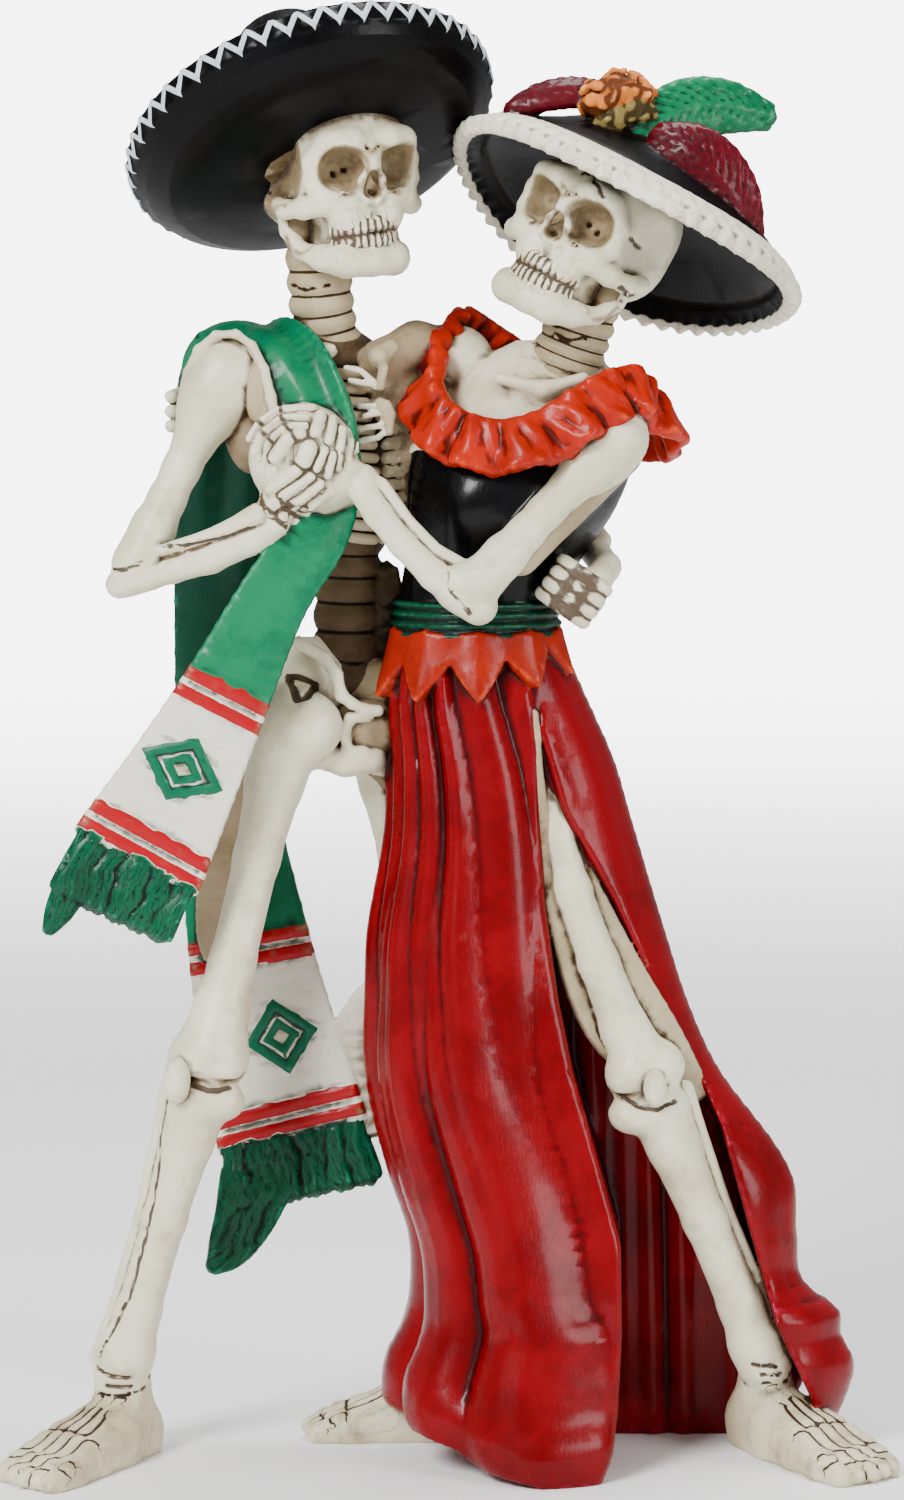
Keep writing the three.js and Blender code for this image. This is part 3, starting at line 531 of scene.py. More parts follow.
# A strip of cloth or a leaf runs through stops of [x, y, z, width, side x, y, z]. Its relief
# reads how far along and across the strip a point is, and so does its painted pattern.
def strip(paint, stops, thick, steps=6, relief=None, blend=0.5, edge=0.6, patterned=False):
    stops = np.array(stops, float)
    keys = np.arange(len(stops))
    at = np.linspace(0, len(stops) - 1, (len(stops) - 1) * steps + 1)
    fine = np.stack([smooth_line(at, keys, stops[:, i]) for i in range(7)], 1)
    along = np.concatenate([[0], np.cumsum(np.linalg.norm(np.diff(fine[:, :3], axis=0), axis=1))])
    for i in range(len(fine) - 1):
        a, b = fine[i, :3], fine[i + 1, :3]
        way = b - a
        length = float(np.linalg.norm(way))
        way = way / length
        s0, s1 = fine[i, 4:7], fine[i + 1, 4:7]
        s0 = s0 - way * (s0 @ way)
        s1 = s1 - way * (s1 @ way)
        s0, s1 = s0 / np.linalg.norm(s0), s1 / np.linalg.norm(s1)

        def locate(x, y, z, a=a, way=way, length=length, s0=s0, s1=s1, i=i):
            px, py, pz = x - a[0], y - a[1], z - a[2]
            on = px * way[0] + py * way[1] + pz * way[2]
            t = np.clip(on / length, 0, 1)
            side = [s0[k] + (s1[k] - s0[k]) * t for k in range(3)]
            size = np.sqrt(side[0] ** 2 + side[1] ** 2 + side[2] ** 2)
            side = [v / size for v in side]
            across = [
                way[1] * side[2] - way[2] * side[1],
                way[2] * side[0] - way[0] * side[2],
                way[0] * side[1] - way[1] * side[0],
            ]
            qx, qy, qz = px - on * way[0], py - on * way[1], pz - on * way[2]
            u = qx * side[0] + qy * side[1] + qz * side[2]
            v = qx * across[0] + qy * across[1] + qz * across[2]
            half = 0.5 * (fine[i, 3] + (fine[i + 1, 3] - fine[i, 3]) * t)
            beyond = on - t * length
            return u, v, half, along[i] + t * length, beyond

        def distance(x, y, z, locate=locate):
            u, v, half, s, beyond = locate(x, y, z)
            depth = 0.5 * thick
            if relief is not None:
                shift, swell = relief(s, u, half)
                v = v - shift
                depth = depth + swell
            out = np.maximum(np.abs(u) - half + edge, 0)
            up = np.maximum(np.abs(v) - depth + edge, 0)
            inside = np.minimum(np.maximum(np.abs(u) - half, np.abs(v) - depth) + edge, 0)
            return np.sqrt(out ** 2 + up ** 2 + beyond ** 2) + inside - edge

        wide = 0.5 * max(fine[i, 3], fine[i + 1, 3])
        reach = np.abs(np.array([s0, s1])).max(0) * wide + 0.8 * thick + 1.2
        low, high = np.minimum(a, b) - reach, np.maximum(a, b) + reach
        form(paint, distance, low, high, blend, False, locate if patterned else None)


def barbs(s, u, half):
    fringe = np.sin((s + np.abs(u) * 1.1) * 2 * math.pi / 1.9)
    rib = np.exp(-(u / 0.45) ** 2)
    return 0.0, 0.3 * fringe * (1 - rib) + 0.35 * rib - 0.7 * (np.abs(u) / np.maximum(half, 0.5)) ** 2


def feather(paint, root, middle, tip, width, side):
    root, middle, tip = (np.array(p, float) for p in (root, middle, tip))
    stops = []
    for i, part in enumerate((0.5, 0.86, 1.0, 0.98, 0.84, 0.5)):
        t = i / 5
        spot = (1 - t) ** 2 * root + 2 * t * (1 - t) * middle + t * t * tip
        stops.append([*spot, width * part, *side])
    strip(paint, stops, 3.0, 4, barbs, blend=0.4, edge=1.0)


def cream_edge(tree, at, colour):
    angle, radius, height = hat_spot(tree, at, laced_centre, laced_turn)
    twice = add(tree, "Math", (angle, 2.0), operation="MULTIPLY")
    saddle = add(tree, "Math", (twice,), operation="COSINE")
    square = add(tree, "Math", (radius, 2.0), operation="POWER")
    saddle = add(tree, "Math", (saddle, square), operation="MULTIPLY")
    saddle = add(tree, "Math", (saddle, laced_droop / laced_radius ** 2), operation="MULTIPLY")
    height = add(tree, "Math", (height, saddle), operation="SUBTRACT")
    lifted = add(tree, "Math", (radius, lace_start), operation="SUBTRACT")
    lifted = add(tree, "Math", (lifted, 0.86), operation="MULTIPLY")
    lifted = add(tree, "Math", (height, lifted), operation="ADD")
    inner = add(tree, "MapRange", (lifted, 2.6, 3.2, 29.6, 27.1), **soft)
    beyond = add(tree, "Math", (radius, inner), operation="SUBTRACT")
    shown = add(tree, "MapRange", (beyond, -0.15, 0.15), **soft)
    return add(tree, "Mix", {0: shown, 6: colour, 7: rgb("#d9d2bd")}, **mixed)


# Black hat paint with its lace brushed cream, both satin
coats["laced hat"] = coating(
    "black and cream hat paint", "#030304", "#070709", "#191008", "#2a2b30", 0.38, 0.7, 0.25, 0.04,
    cream_edge, shine=0.08,
)
# Feathers and flower: rich paint with a low gloss, dark between the barbs with wash and painted shade,
# and light along them as a painted highlight
coats["burgundy feather"] = coating(
    "burgundy feather paint", "#4e0210", "#3a010a", "#140002", "#8c1c2c", 0.36, 0.9, 0.5, 0.08,
)
coats["green feather"] = coating(
    "green feather paint", "#066e44", "#045232", "#011e12", "#4ab484", 0.36, 0.9, 0.6, 0.08,
)
coats["crimson feather"] = coating(
    "crimson feather paint", "#4e0210", "#3a000a", "#140002", "#a0203a", 0.34, 0.9, 0.6, 0.08,
)
coats["peach petals"] = coating(
    "peach petal paint", "#c8702a", "#a85a1c", "#3a1606", "#f2b27a", 0.5, 0.9, 0.6,
)
coats["olive petals"] = coating(
    "olive petal paint", "#857440", "#66562a", "#221808", "#c8b880", 0.5, 0.9, 0.6,
)

feather("burgundy feather", [27, -9, 229.5], [18, -10, 232.0], [9.8, -9, 227.4], 6.6, [0, 0.7, 0.7])
feather("green feather", [31, -12, 222.0], [38, -10, 231.4], [52.6, -6, 226.4], 10.4, [-0.25, 0.1, 1])
feather("crimson feather", [34, -14, 223.0], [44, -20, 220.0], [49.2, -14, 206.6], 11.4, [1, 0.2, 0.62])

petals = np.random.default_rng(11)
flower_middle = np.array([27.6, -10.4, 228.6])
for petal in range(60):
    lean = petals.normal(size=3)
    lean /= np.linalg.norm(lean)
    if lean[1] > 0.55:
        lean[1] = -lean[1]
    seat = flower_middle + lean * np.array([5.8, 4.8, 4.9])
    turn = basis(petals.normal(size=3), lean + petals.normal(size=3) * 0.7)
    shade = "peach petals" if lean[2] > -0.05 + 0.25 * lean[0] else "olive petals"
    oval(shade, seat, (2.0, 1.3, 0.75), turn, blend=0.15, tone=1 if petal % 2 else -1)
oval("olive petals", flower_middle, (5.4, 4.4, 4.5), blend=0.2)


# The man's rib cage: a washed core, a rib for every level, and a breastbone down the front, all
# cast in one with his shoulders and with the web to her arm.
cage_top, cage_bottom = np.array([-20.0, 3.5, 187.0]), np.array([-16.6, 3.8, 157.0])
cage_turn = turned(0, 0, 40)
cage_levels = 13


def cage_spot(angle, part, out):
    barrel = math.sin(math.pi * (0.19 + 0.68 * part)) ** 0.6
    spot = np.array([(12.6 * barrel + out) * math.cos(angle), (9.8 * barrel + out) * math.sin(angle), 0.0])
    spot[2] = 3.0 * math.sin(angle)
    return cage_top + (cage_bottom - cage_top) * part + cage_turn @ spot


for level in range(7):
    part = level / 6
    core = cage_top + (cage_bottom - cage_top) * part
    wide = np.linalg.norm(cage_spot(0, part, 0) - core) - 0.4
    oval("umber wash", core, (wide, wide * 0.77, 4.2), cage_turn @ turned(14, 0, 0), blend=1.2)
for level in range(cage_levels):
    part = (level + 0.3) / cage_levels
    for side in (-1, 1):
        stops = []
        for step in range(12):
            angle = -0.5 * math.pi + side * (0.12 + step * 0.255)
            stops.append([*cage_spot(angle, part, 0.35 - 0.05 * step), 0.95])
        limb("aged bone", stops, blend=0.15, tone=1 if level % 2 else -1)
limb("bone", [[-35, 2, 184.6, 2.0], [-28, -2.4, 186.8, 1.5], [-20.4, -4.0, 187.6, 1.1]], blend=0.8)
oval("aged bone", [-12.2, -6.4, 186.6], (1.5, 1.4, 1.4), blend=0.6)
limb("aged bone", [[-12.2, -6.4, 186.6, 0.8], [-10.4, -4.4, 187.8, 1.0]], blend=0.6)
for line in (
    [(-18.7, 186.0), (-15.4, 186.0)], [(-17.7, 184.7), (-15.4, 184.3), (-13.4, 182.6), (-12.9, 181.5)],
    [(-17.1, 182.6), (-14.0, 182.0)], [(-16.1, 180.3), (-13.7, 180.0)], [(-15.7, 178.3), (-13.0, 178.3)],
    [(-14.7, 176.6), (-12.0, 177.3)], [(-15.1, 174.6), (-12.0, 175.0), (-11.3, 176.0)],
    [(-15.1, 172.6), (-12.4, 173.0), (-11.2, 174.0)],
):
    limb("bone", [[x, -7.0, z, 0.55] for x, z in line], blend=0.1)
for line in ([(-11.4, 184.7), (-12.0, 181.6)], [(-12.0, 179.0), (-10.9, 176.0)],
             [(-10.9, 178.6), (-10.2, 177.0), (-10.5, 174.0)]):
    limb("aged bone", [[x, -7.0, z, 0.8] for x, z in line], blend=0.4)
limb("unpainted resin", [[-12, -2.4, 186, 3.4], [-6, 1, 188.4, 3.6], [-1, 6, 187.0, 4.4]], blend=2.0)
limb("unpainted resin", [[-10, 1, 180, 5.2], [-5, 2, 178, 5.2], [0, 4, 176, 5]], blend=2.0)
limb("unpainted resin", [[-12, 2, 168, 4.4], [-7.4, 2, 170, 4.4], [-5, 4, 160, 4]], blend=2.0)
for row in range(9):
    spot = np.array([-8.4 + 0.35 * row, -3.2 + 0.2 * row, 170.4 - 1.5 * row])
    limb("unpainted resin", [[*(spot - [0.8, 0, 0.7]), 0.4], [*(spot + [0.6, -0.3, 0.5]), 0.4]], blend=0.2,
         cut=True)


# Arms: a long bone with a round head to the elbow, a thick and a thin bone from there to the wrist,
# and a thin web of resin between these two, which the mould left in.
def upper_arm(shoulder, elbow, head):
    a, b = np.array(shoulder, float), np.array(elbow, float)
    shares = ((0, 1.0), (0.1, 0.97), (0.2, 0.83), (0.34, 0.57), (0.5, 0.5), (0.66, 0.5), (0.82, 0.6),
              (1, 0.68))
    limb("bone", [[*(a + (b - a) * t), head * r] for t, r in shares], blend=1.2)


def forearm(thick, thin):
    limb("bone", thick, blend=0.8)
    limb("bone", thin, blend=0.15)
    pairs = zip(thick[:4], thin[:4])
    web = [[*(0.5 * (np.array(a[:3]) + np.array(b[:3])) + [0, 1.2, 0]), 1.7] for a, b in pairs]
    limb("unpainted resin", web, blend=0.5)


upper_arm([-38.0, -5.8, 183.2], [-52.6, -9.6, 152.4], 6.2)
limb("bone", [[-54.0, -11, 151.2, 2.9], [-51.0, -11, 153.6, 3.0]], blend=1.0)
limb("bone", [[-55.6, -9.8, 148.6, 2.4], [-50.6, -11.6, 150.4, 2.6]], blend=0.4)
forearm(
    [[-54.4, -10.6, 149.2, 2.5], [-46.6, -12.0, 151.2, 2.2], [-40.2, -13.4, 153.2, 2.5],
     [-33.6, -16.2, 156.4, 2.5], [-29.2, -17.6, 159.4, 2.3]],
    [[-48.4, -13.2, 154.6, 0.9], [-41.0, -15.0, 157.0, 1.0], [-36.2, -17.4, 158.9, 1.4],
     [-32.4, -19.4, 161.0, 1.7]],
)
carve([(-57.0, 151.6), (-55.4, 151.2), (-53.4, 151.6), (-51.2, 152.8)], 0.28)
carve([(-48.2, 155.4), (-45.4, 155.2), (-42.4, 155.8), (-39.2, 156.6), (-36.0, 157.6), (-33.4, 158.8)], 0.28)
upper_arm([-6, 8, 184], [18.6, 17, 160.6], 5.2)
forearm([[18.6, 17, 160.6, 3.4], [21.6, 12, 156.4, 2.4], [24.4, 7.0, 152.8, 2.4]],
        [[19.6, 15.4, 163.2, 1.4], [23.2, 11, 158.6, 1.1], [25.8, 6.4, 155.0, 1.4]])
upper_arm([0.5, 7, 185.5], [-21, 19, 173.1], 5.2)
forearm([[-21, 19, 173.1, 3.4], [-31, 16, 175.4, 2.4], [-40.4, 12, 178.0, 2.4]],
        [[-22.6, 18.6, 176.6, 1.4], [-31.4, 16, 178.9, 1.1], [-40.4, 11.6, 181.0, 1.4]])
upper_arm([27.0, -9, 173], [4.6, -18.8, 149.6], 5.9)
limb("bone", [[5.4, -19.4, 150.8, 3.2], [1.6, -19.6, 149.6, 3.3]], blend=1.0)
limb("bone", [[4.4, -18.4, 145.6, 3.2], [0.6, -18.6, 148.0, 3.2]], blend=0.5)
carve([(-0.6, 151.2), (-0.2, 148.6), (1.2, 147.0), (2.2, 145.8), (3.0, 144.4)], 0.36)
limb("aged bone", [[27.6, -7.0, 170.6, 4.4], [19.4, -10.6, 161.6, 3.3], [11.4, -13.8, 153.4, 3.1]], blend=0.5)
forearm(
    [[1.6, -18.8, 147.4, 3.0], [-3.0, -19.4, 150.8, 2.5], [-8.2, -20, 156.0, 2.2], [-12.2, -20.4, 161.0, 2.3],
     [-15.0, -20.6, 165.4, 2.5]],
    [[2.6, -18.6, 152.0, 1.1], [-2.6, -19.0, 155.2, 0.9], [-7.2, -19.4, 160.0, 0.9],
     [-11.6, -20.0, 165.8, 1.2]],
)


# Hands: cast closed on what they hold. Every finger is a row of short bones, told apart by tone.
def finger(paint, stops, thick, taper=0.92, tone=1):
    stops = np.array(stops, float)
    for i in range(len(stops) - 1):
        a, b = stops[i], stops[i + 1]
        size = thick * taper ** i
        inset = min(size * 0.8 / np.linalg.norm(b - a), 0.4) * (b - a)
        ends = [[*(a + inset), size], [*(0.5 * (a + b)), size * 0.88], [*(b - inset), size]]
        limb(paint, ends, blend=0.1, tone=tone * (-1) ** i)


# The clasped pair is one round mass with its small bones on it: [x, z, x, z, radius, tone].
# Her fingers close over it from the top right, and his palm bones rise from the lower left
clasp, clasp_round = np.array([-24.8, -13.6, 169.9]), np.array([9.0, 7.6, 9.1])
oval("bone", clasp, clasp_round, blend=0.8)
limb("bone", [[-20, -14, 166, 5.5], [-14.6, -19.0, 166.8, 2.4]], blend=1.5)
limb("bone", [[-26, -14, 165, 5.0], [-30.0, -17.0, 161.4, 2.6]], blend=1.5)
top_rows = [
    [-27.9, 178.3, -23.0, 178.5, 0.62, 1], [-28.9, 178.2, -31.6, 176.2, 0.6, -1],
    [-32.1, 175.7, -33.7, 173.2, 0.62, 1], [-27.9, 177.0, -24.1, 177.0, 0.55, -1],
    [-28.6, 176.6, -31.1, 174.6, 0.6, 1], [-31.6, 173.8, -32.6, 171.2, 0.8, -1],
    [-27.2, 175.7, -24.1, 175.7, 0.55, 1], [-27.8, 175.2, -29.6, 173.6, 0.65, -1],
    [-30.4, 172.9, -30.6, 170.2, 0.65, 1], [-27.0, 173.6, -29.2, 170.4, 1.15, -1],
    [-25.9, 174.2, -24.9, 174.3, 0.8, 1],
]
back_rows = [
    [-21.7, 177.3, -22.5, 174.6, 0.95, -1], [-19.6, 176.7, -20.1, 173.2, 0.7, 1],
    [-18.1, 174.9, -18.4, 171.9, 0.7, -1], [-16.7, 172.9, -17.2, 169.6, 0.6, 1],
    [-15.7, 172.5, -15.7, 171.0, 0.4, -1], [-23.6, 171.9, -24.4, 169.9, 1.4, 1],
    [-20.9, 171.6, -22.3, 168.4, 0.65, -1], [-19.6, 170.8, -20.4, 167.3, 0.65, 1],
    [-18.4, 170.6, -18.8, 168.9, 0.5, -1], [-17.5, 168.6, -19.3, 165.6, 0.65, 1],
]
palm_rows = [
    [-25.6, 168.3, -30.0, 165.1, 1.0, -1], [-23.2, 167.2, -28.0, 164.0, 0.75, 1],
    [-21.7, 165.9, -25.6, 162.7, 0.75, -1], [-20.1, 164.8, -23.4, 162.0, 0.75, 1],
    [-31.4, 163.5, -30.4, 162.2, 0.75, 1], [-28.8, 163.3, -27.6, 162.1, 0.75, -1],
    [-29.2, 161.2, -26.2, 159.6, 0.8, 1], [-25.5, 161.3, -24.0, 161.0, 0.5, -1],
]
for x0, z0, x1, z1, size, tone in top_rows + back_rows + palm_rows:
    ends = []
    for x, z in ((x0, z0), (x1, z1)):
        part = min(((x - clasp[0]) / clasp_round[0]) ** 2 + ((z - clasp[2]) / clasp_round[2]) ** 2, 0.93)
        ends.append([x, clasp[1] - clasp_round[1] * math.sqrt(1 - part) - 0.75 + 0.35 * size, z, size])
    limb("bone", ends, blend=0.08, tone=tone)

for points in (
    [(-31.8, 164.1), (-31.3, 162.4), (-29.8, 161.0), (-28.6, 159.6), (-27.3, 158.7)],
    [(-28.4, 163.4), (-27.6, 161.9), (-26.4, 161.0), (-25.6, 160.1)],
    [(-29.6, 160.8), (-28.4, 161.6), (-27.6, 161.9), (-25.6, 162.2), (-24.0, 161.8)],
):
    carve(points, 0.3)

# His left hand shows past her waist, and the tips of her right hand past his arm
oval("bone", [21.0, -7.6, 147.2], (5.4, 3.6, 4.4), turned(0, 38, 25), blend=0.8)
limb("bone", [[24.4, 5, 153, 2.6], [26.0, -2, 151, 2.4], [24.4, -6.4, 149.0, 2.6]], blend=1.0)
for row, offset in enumerate((-3.2, -1.1, 1.0, 3.1)):
    for piece in range(3):
        ends = []
        for along in (-4.4 + 2.9 * piece, -1.9 + 2.9 * piece):
            deep = math.sqrt(max(1 - (along / 6.8) ** 2 - (offset / 5.6) ** 2, 0.15))
            x, z = 20.6 + 0.82 * along + 0.57 * offset, 147.3 - 0.57 * along + 0.82 * offset
            ends.append([x, -8.0 - 3.6 * deep, z, 1.35])
        limb("bone", ends, blend=0.1, tone=(-1) ** (row + piece))
for k in range(3):
    finger("bone", [
        [-42.0, 11.0, 180.2 - 2.6 * k], [-46.0, 7.4, 180.0 - 2.6 * k], [-47.8, 2.8, 179.4 - 2.5 * k],
    ], 1.3, tone=(-1) ** k)


# Legs: a thigh with a round head and a double knee, a kneecap, and two shin bones with a web of
# resin between them, all cast in one.
def leg(thigh, knee, ankle, beside, cap):
    knee, ankle = np.array(knee, float), np.array(ankle, float)
    across = np.array(beside, float) / np.linalg.norm(beside)
    limb("bone", thigh, blend=1.5)
    knee_turn = turned(0, 0, math.degrees(math.atan2(across[1], abs(across[0]))))
    oval("bone", knee + [0, 0, 1.4], (6.4, 5.2, 4.4), knee_turn, blend=1.6)
    for side in (-1, 1):
        oval("bone", knee + across * side * 3.0 + [0, 0, 1.0], (3.8, 5.0, 4.0), blend=1.2)
        oval("bone", knee + across * side * 2.4 + [0, 0, -5.6], (3.9, 4.8, 3.3), blend=1.6)
    shin = ((0.12, 5.4), (0.24, 4.4), (0.5, 3.6), (0.8, 3.7), (0.93, 4.6), (1.0, 4.8))
    limb("bone", [[*(knee + (ankle - knee) * t), r] for t, r in shin], blend=1.5)
    thin = ((0.08, 5.6, 1.5), (0.2, 5.2, 1.2), (0.5, 4.3, 1.0), (0.8, 4.3, 1.1), (0.97, 4.4, 1.8))
    limb("bone", [[*(knee + (ankle - knee) * t + across * off), r] for t, off, r in thin], blend=0.3)
    web = [[*(knee + (ankle - knee) * t + across * 3.6 + [0, 1.4, 0]), 1.6] for t in (0.15, 0.9)]
    limb("unpainted resin", web, blend=0.6)
    seam = [knee + across * x + [0, -4.9 + 0.12 * x * x, -2.4 + 0.05 * x * x] for x in (-6, -3, 0, 3, 6)]
    limb("bone", [[*p, 0.6] for p in seam], blend=0.5, cut=True, tone=1)
    oval("bone", knee + np.array(cap[:3]), cap[3:], blend=0.25)


def tapered(hip, knee, head):
    hip, knee = np.array(hip, float), np.array(knee, float)
    shares = ((0, head), (0.08, head * 1.02), (0.18, 4.9), (0.4, 3.8), (0.7, 3.8), (0.84, 4.6), (0.93, 6.0))
    return [[*(hip + (knee - hip) * t), r] for t, r in shares]


leg(
    tapered([-27.4, -4, 125.6], [-41.0, -14, 67.8], 5.8), [-41.0, -14, 67.8], [-56.2, -7.4, 14.5],
    [-0.92, 0.2, 0.1], [-5.0, -5.0, -1.6, 2.3, 2.4, 4.0],
)
leg(
    tapered([-12.5, 4, 123.8], [-3, 21, 66], 5.6), [-3, 21, 66], [3, 28, 12],
    [-0.9, 0.3, 0], [0, -5.0, 0, 2.6, 2.4, 3.4],
)
her_thigh = [
    [14.8, -5, 124, 3.0], [16.0, -7.0, 114, 2.3], [17.6, -8.4, 107, 2.8], [20.2, -9.6, 97, 3.1],
    [24.6, -11, 85, 3.3], [29.0, -12.2, 74, 3.9], [31.6, -13, 69, 5.0],
]
leg(her_thigh, [32.4, -13.4, 66.0], [53.2, -5, 15.5], [0.9, 0.2, 0.3], [1.6, -5.6, -1.2, 2.0, 2.3, 3.2])
carve([(-43.4, 65.2), (-41.3, 64.4), (-39.3, 64.2), (-37.2, 64.6), (-35.2, 65.4)], 0.4)
carve([(-48.6, 58.0), (-49.4, 50.0), (-50.9, 42.0), (-52.6, 35.0), (-54.5, 28.0), (-57.2, 22.5),
       (-59.7, 17.5)], 0.3)
carve([(-48.6, 66.4), (-48.0, 62.0), (-48.4, 58.6)], 0.36)
carve([(28.6, 63.0), (31.0, 61.6), (34.0, 61.0), (37.6, 62.4)], 0.34)


# Feet: five rays of bones fanned from the heel, over a solid sole that the couple stands on. They
# are cast with the shins and hold the most wash.
def foot(heel, toes, line, wide, tall=1.0):
    heel, toes = np.array(heel, float), np.array(toes, float)
    line = np.array(line, float) / np.linalg.norm(line)
    up = np.array([0, 0, tall])

    def spot(part, across, height):
        return heel + (toes - heel) * part + line * across + up * height

    body = ((0.04, 1.0, 4.0, 4.4), (0.3, 2.6, 4.4, 4.4), (0.55, 0.62 * wide, 3.0, 3.2),
            (0.78, 0.8 * wide, 1.9, 2.4), (0.94, 0.84 * wide, 1.2, 1.8))
    for across in (-1, -0.33, 0.33, 1):
        ray_top = [[*spot(part, across * half, height), size] for part, half, height, size in body]
        sole = [[*spot(part, across * half, 1.0), size * 0.9] for part, half, _, size in body]
        limb("washed bone", ray_top, blend=1.5)
        limb("washed bone", sole, blend=1.5)
    limb("washed bone", [[*spot(0.1, 0, 11.0 / tall), 4.5], [*spot(0.05, 0, 3.6), 4.6]], blend=2.0)
    oval("washed bone", spot(0.16, 0, 7.4), (4.6, 4.6, 5.6), blend=2.0)
    for ray in range(5):
        k = (ray - 2) / 2
        big = 1.3 if ray == 0 else 1.0
        stops = [
            spot(0.30, 3.0 * k, 8.2 - 0.8 * k * k), spot(0.58, wide * 0.78 * k, 6.0 - 0.9 * k * k),
            spot(0.80, wide * 0.92 * k, 3.4 - 0.4 * k * k), spot(0.93 - 0.05 * k * k, wide * 0.95 * k, 2.4),
            spot(1.03 - 0.07 * k * k, wide * 0.94 * k, 1.2),
        ]
        finger("washed bone", stops, 1.5 * big, 0.95, (-1) ** ray)


# Ivory with the most wash left on it, on the feet: brown between the bones, where the darkening is also
# painted shade
coats["washed bone"] = coating(
    "ivory paint under brown wash", "#cfc7aa", "#b4a988", "#2a190a", "#efe9da", 0.45, 1.0, 0.6, 0.05,
    shine=0.2, film="#6c5636", patchy=0.55,
)


foot([-54.0, -3, 0], [-71.0, -33, 0], [0.7, -0.72, 0], 6.6)
foot([-1, 25, 0], [32, 34, 0], [-0.2, 1, 0], 6.2)
foot([51.6, 2, 1.0], [70.0, -29, 0], [-0.76, -0.65, 0], 6.4)
foot([10, 8, 0], [-24.8, 6, 0], [0, -1, 0], 5.0, 1.35)
for drop in (0.0, 1.7, 3.3):
    carve([(-60.4 - 0.5 * drop, 15.6 - drop), (-57.5 - 0.6 * drop, 14.4 - drop),
           (-54 - 0.6 * drop, 14.2 - drop), (-50.6 - 0.4 * drop, 15.4 - drop)], 0.3)
    carve([(47.6 + 0.6 * drop, 15.2 - drop), (51 + 0.7 * drop, 16.0 - drop), (54.5 + 0.8 * drop, 15.8 - drop),
           (57.6 + 0.8 * drop, 13.6 - drop)], 0.3)


# Pelvis: two flared wings, the joint cup of the hidden leg, and the bar between them, with webs of
# bare and washed resin where the mould couldn't reach.
oval("bone", [-24.5, 0.5, 131.5], (7.4, 4.4, 7.6), turned(0, -28, 20), blend=1.5)
oval("aged bone", [-12.5, 4.0, 127.5], (8.6, 5.0, 8.4), turned(0, 20, 0), blend=2.0)
oval("bone", [-25.2, -6.4, 124.4], (6.8, 5.6, 6.2), blend=1.5)
limb("bone", [[-25.8, -4.4, 138.4, 1.2], [-21.4, -5.4, 135.9, 1.0], [-19.4, -6.2, 133.1, 1.0],
              [-18.6, -6.6, 129.7, 1.0], [-16.9, -6.0, 128.3, 0.9], [-14.9, -5.0, 127.2, 0.9],
              [-12.4, -4.4, 126.9, 1.0]], blend=0.8)
limb("bone", [[-24.0, -3.0, 119.6, 2.4], [-18.0, -3.2, 118.0, 2.2], [-13.6, -2.4, 118.4, 2.4]], blend=1.5)
oval("unpainted resin", [-14.6, -0.4, 123.4], (6.6, 4.0, 5.2), blend=0.4)
limb("bone", [[-14.2, -4.4, 126.0, 0.8], [-17.2, -4.6, 125.7, 0.8], [-18.3, -4.6, 123.2, 0.8],
              [-17.5, -4.6, 120.1, 0.8], [-14.9, -4.2, 119.8, 0.8]], blend=0.8)
carve([(-27.6, 132.4), (-26.6, 130.9), (-26.0, 129.2), (-24.4, 129.6), (-23.0, 130.8)], 0.6)
carve([(-27.5, 132.6), (-25.6, 132.4), (-23.0, 131.2)], 0.45)
hip_web = [[-16, 3, 126, 14, 1, 0, 0], [-10, 2.6, 117, 8, 1, 0, -0.3], [-7.4, 2, 109, 2, 1, 0, -0.3]]
strip("unpainted resin", hip_web, 3.0, 4)
loin_web = [[-11, 4, 150, 4, 1, 0, 0], [-10.4, 4, 140, 6, 1, 0, 0], [-9, 4, 128, 9, 1, 0, 0]]
strip("umber wash", loin_web, 4.0, 4)


# The scarf is carved resin that goes over his shoulder: one end hangs in front past the clasped
# hands, the other behind his leg. Stripes and nested diamonds are raised on both ends.
def diamond(s, u, middle_s, middle_u, half_s, half_u):
    """Rings round a diamond's middle: 1 at its outline, 0 at the middle."""
    return np.abs(s - middle_s) / half_s + np.abs(u - middle_u) / half_u


def cloth_relief(marks, seed):
    stripes, middle_s, middle_u, half_s, half_u = marks

    def relief(s, u, half):
        fold = 0.55 * np.sin(u * 0.85 + 0.05 * s + seed) * np.exp(-((s - 22) / 26) ** 2)
        fold = fold + 0.25 * np.sin(u * 0.5 + 0.09 * s + seed)
        raised = 0.0
        for at in stripes:
            raised = raised + 0.55 * np.clip((stripe_half - np.abs(s - at)) / 0.35, 0, 1)
        ring = diamond(s, u, middle_s, middle_u, half_s, half_u)
        outer = np.clip((0.17 - np.abs(ring - 0.84)) / 0.06, 0, 1)
        inner = np.clip((0.14 - np.abs(ring - 0.42)) / 0.06, 0, 1)
        raised = raised + 0.4 * np.maximum(outer, inner)
        return fold, raised

    return relief


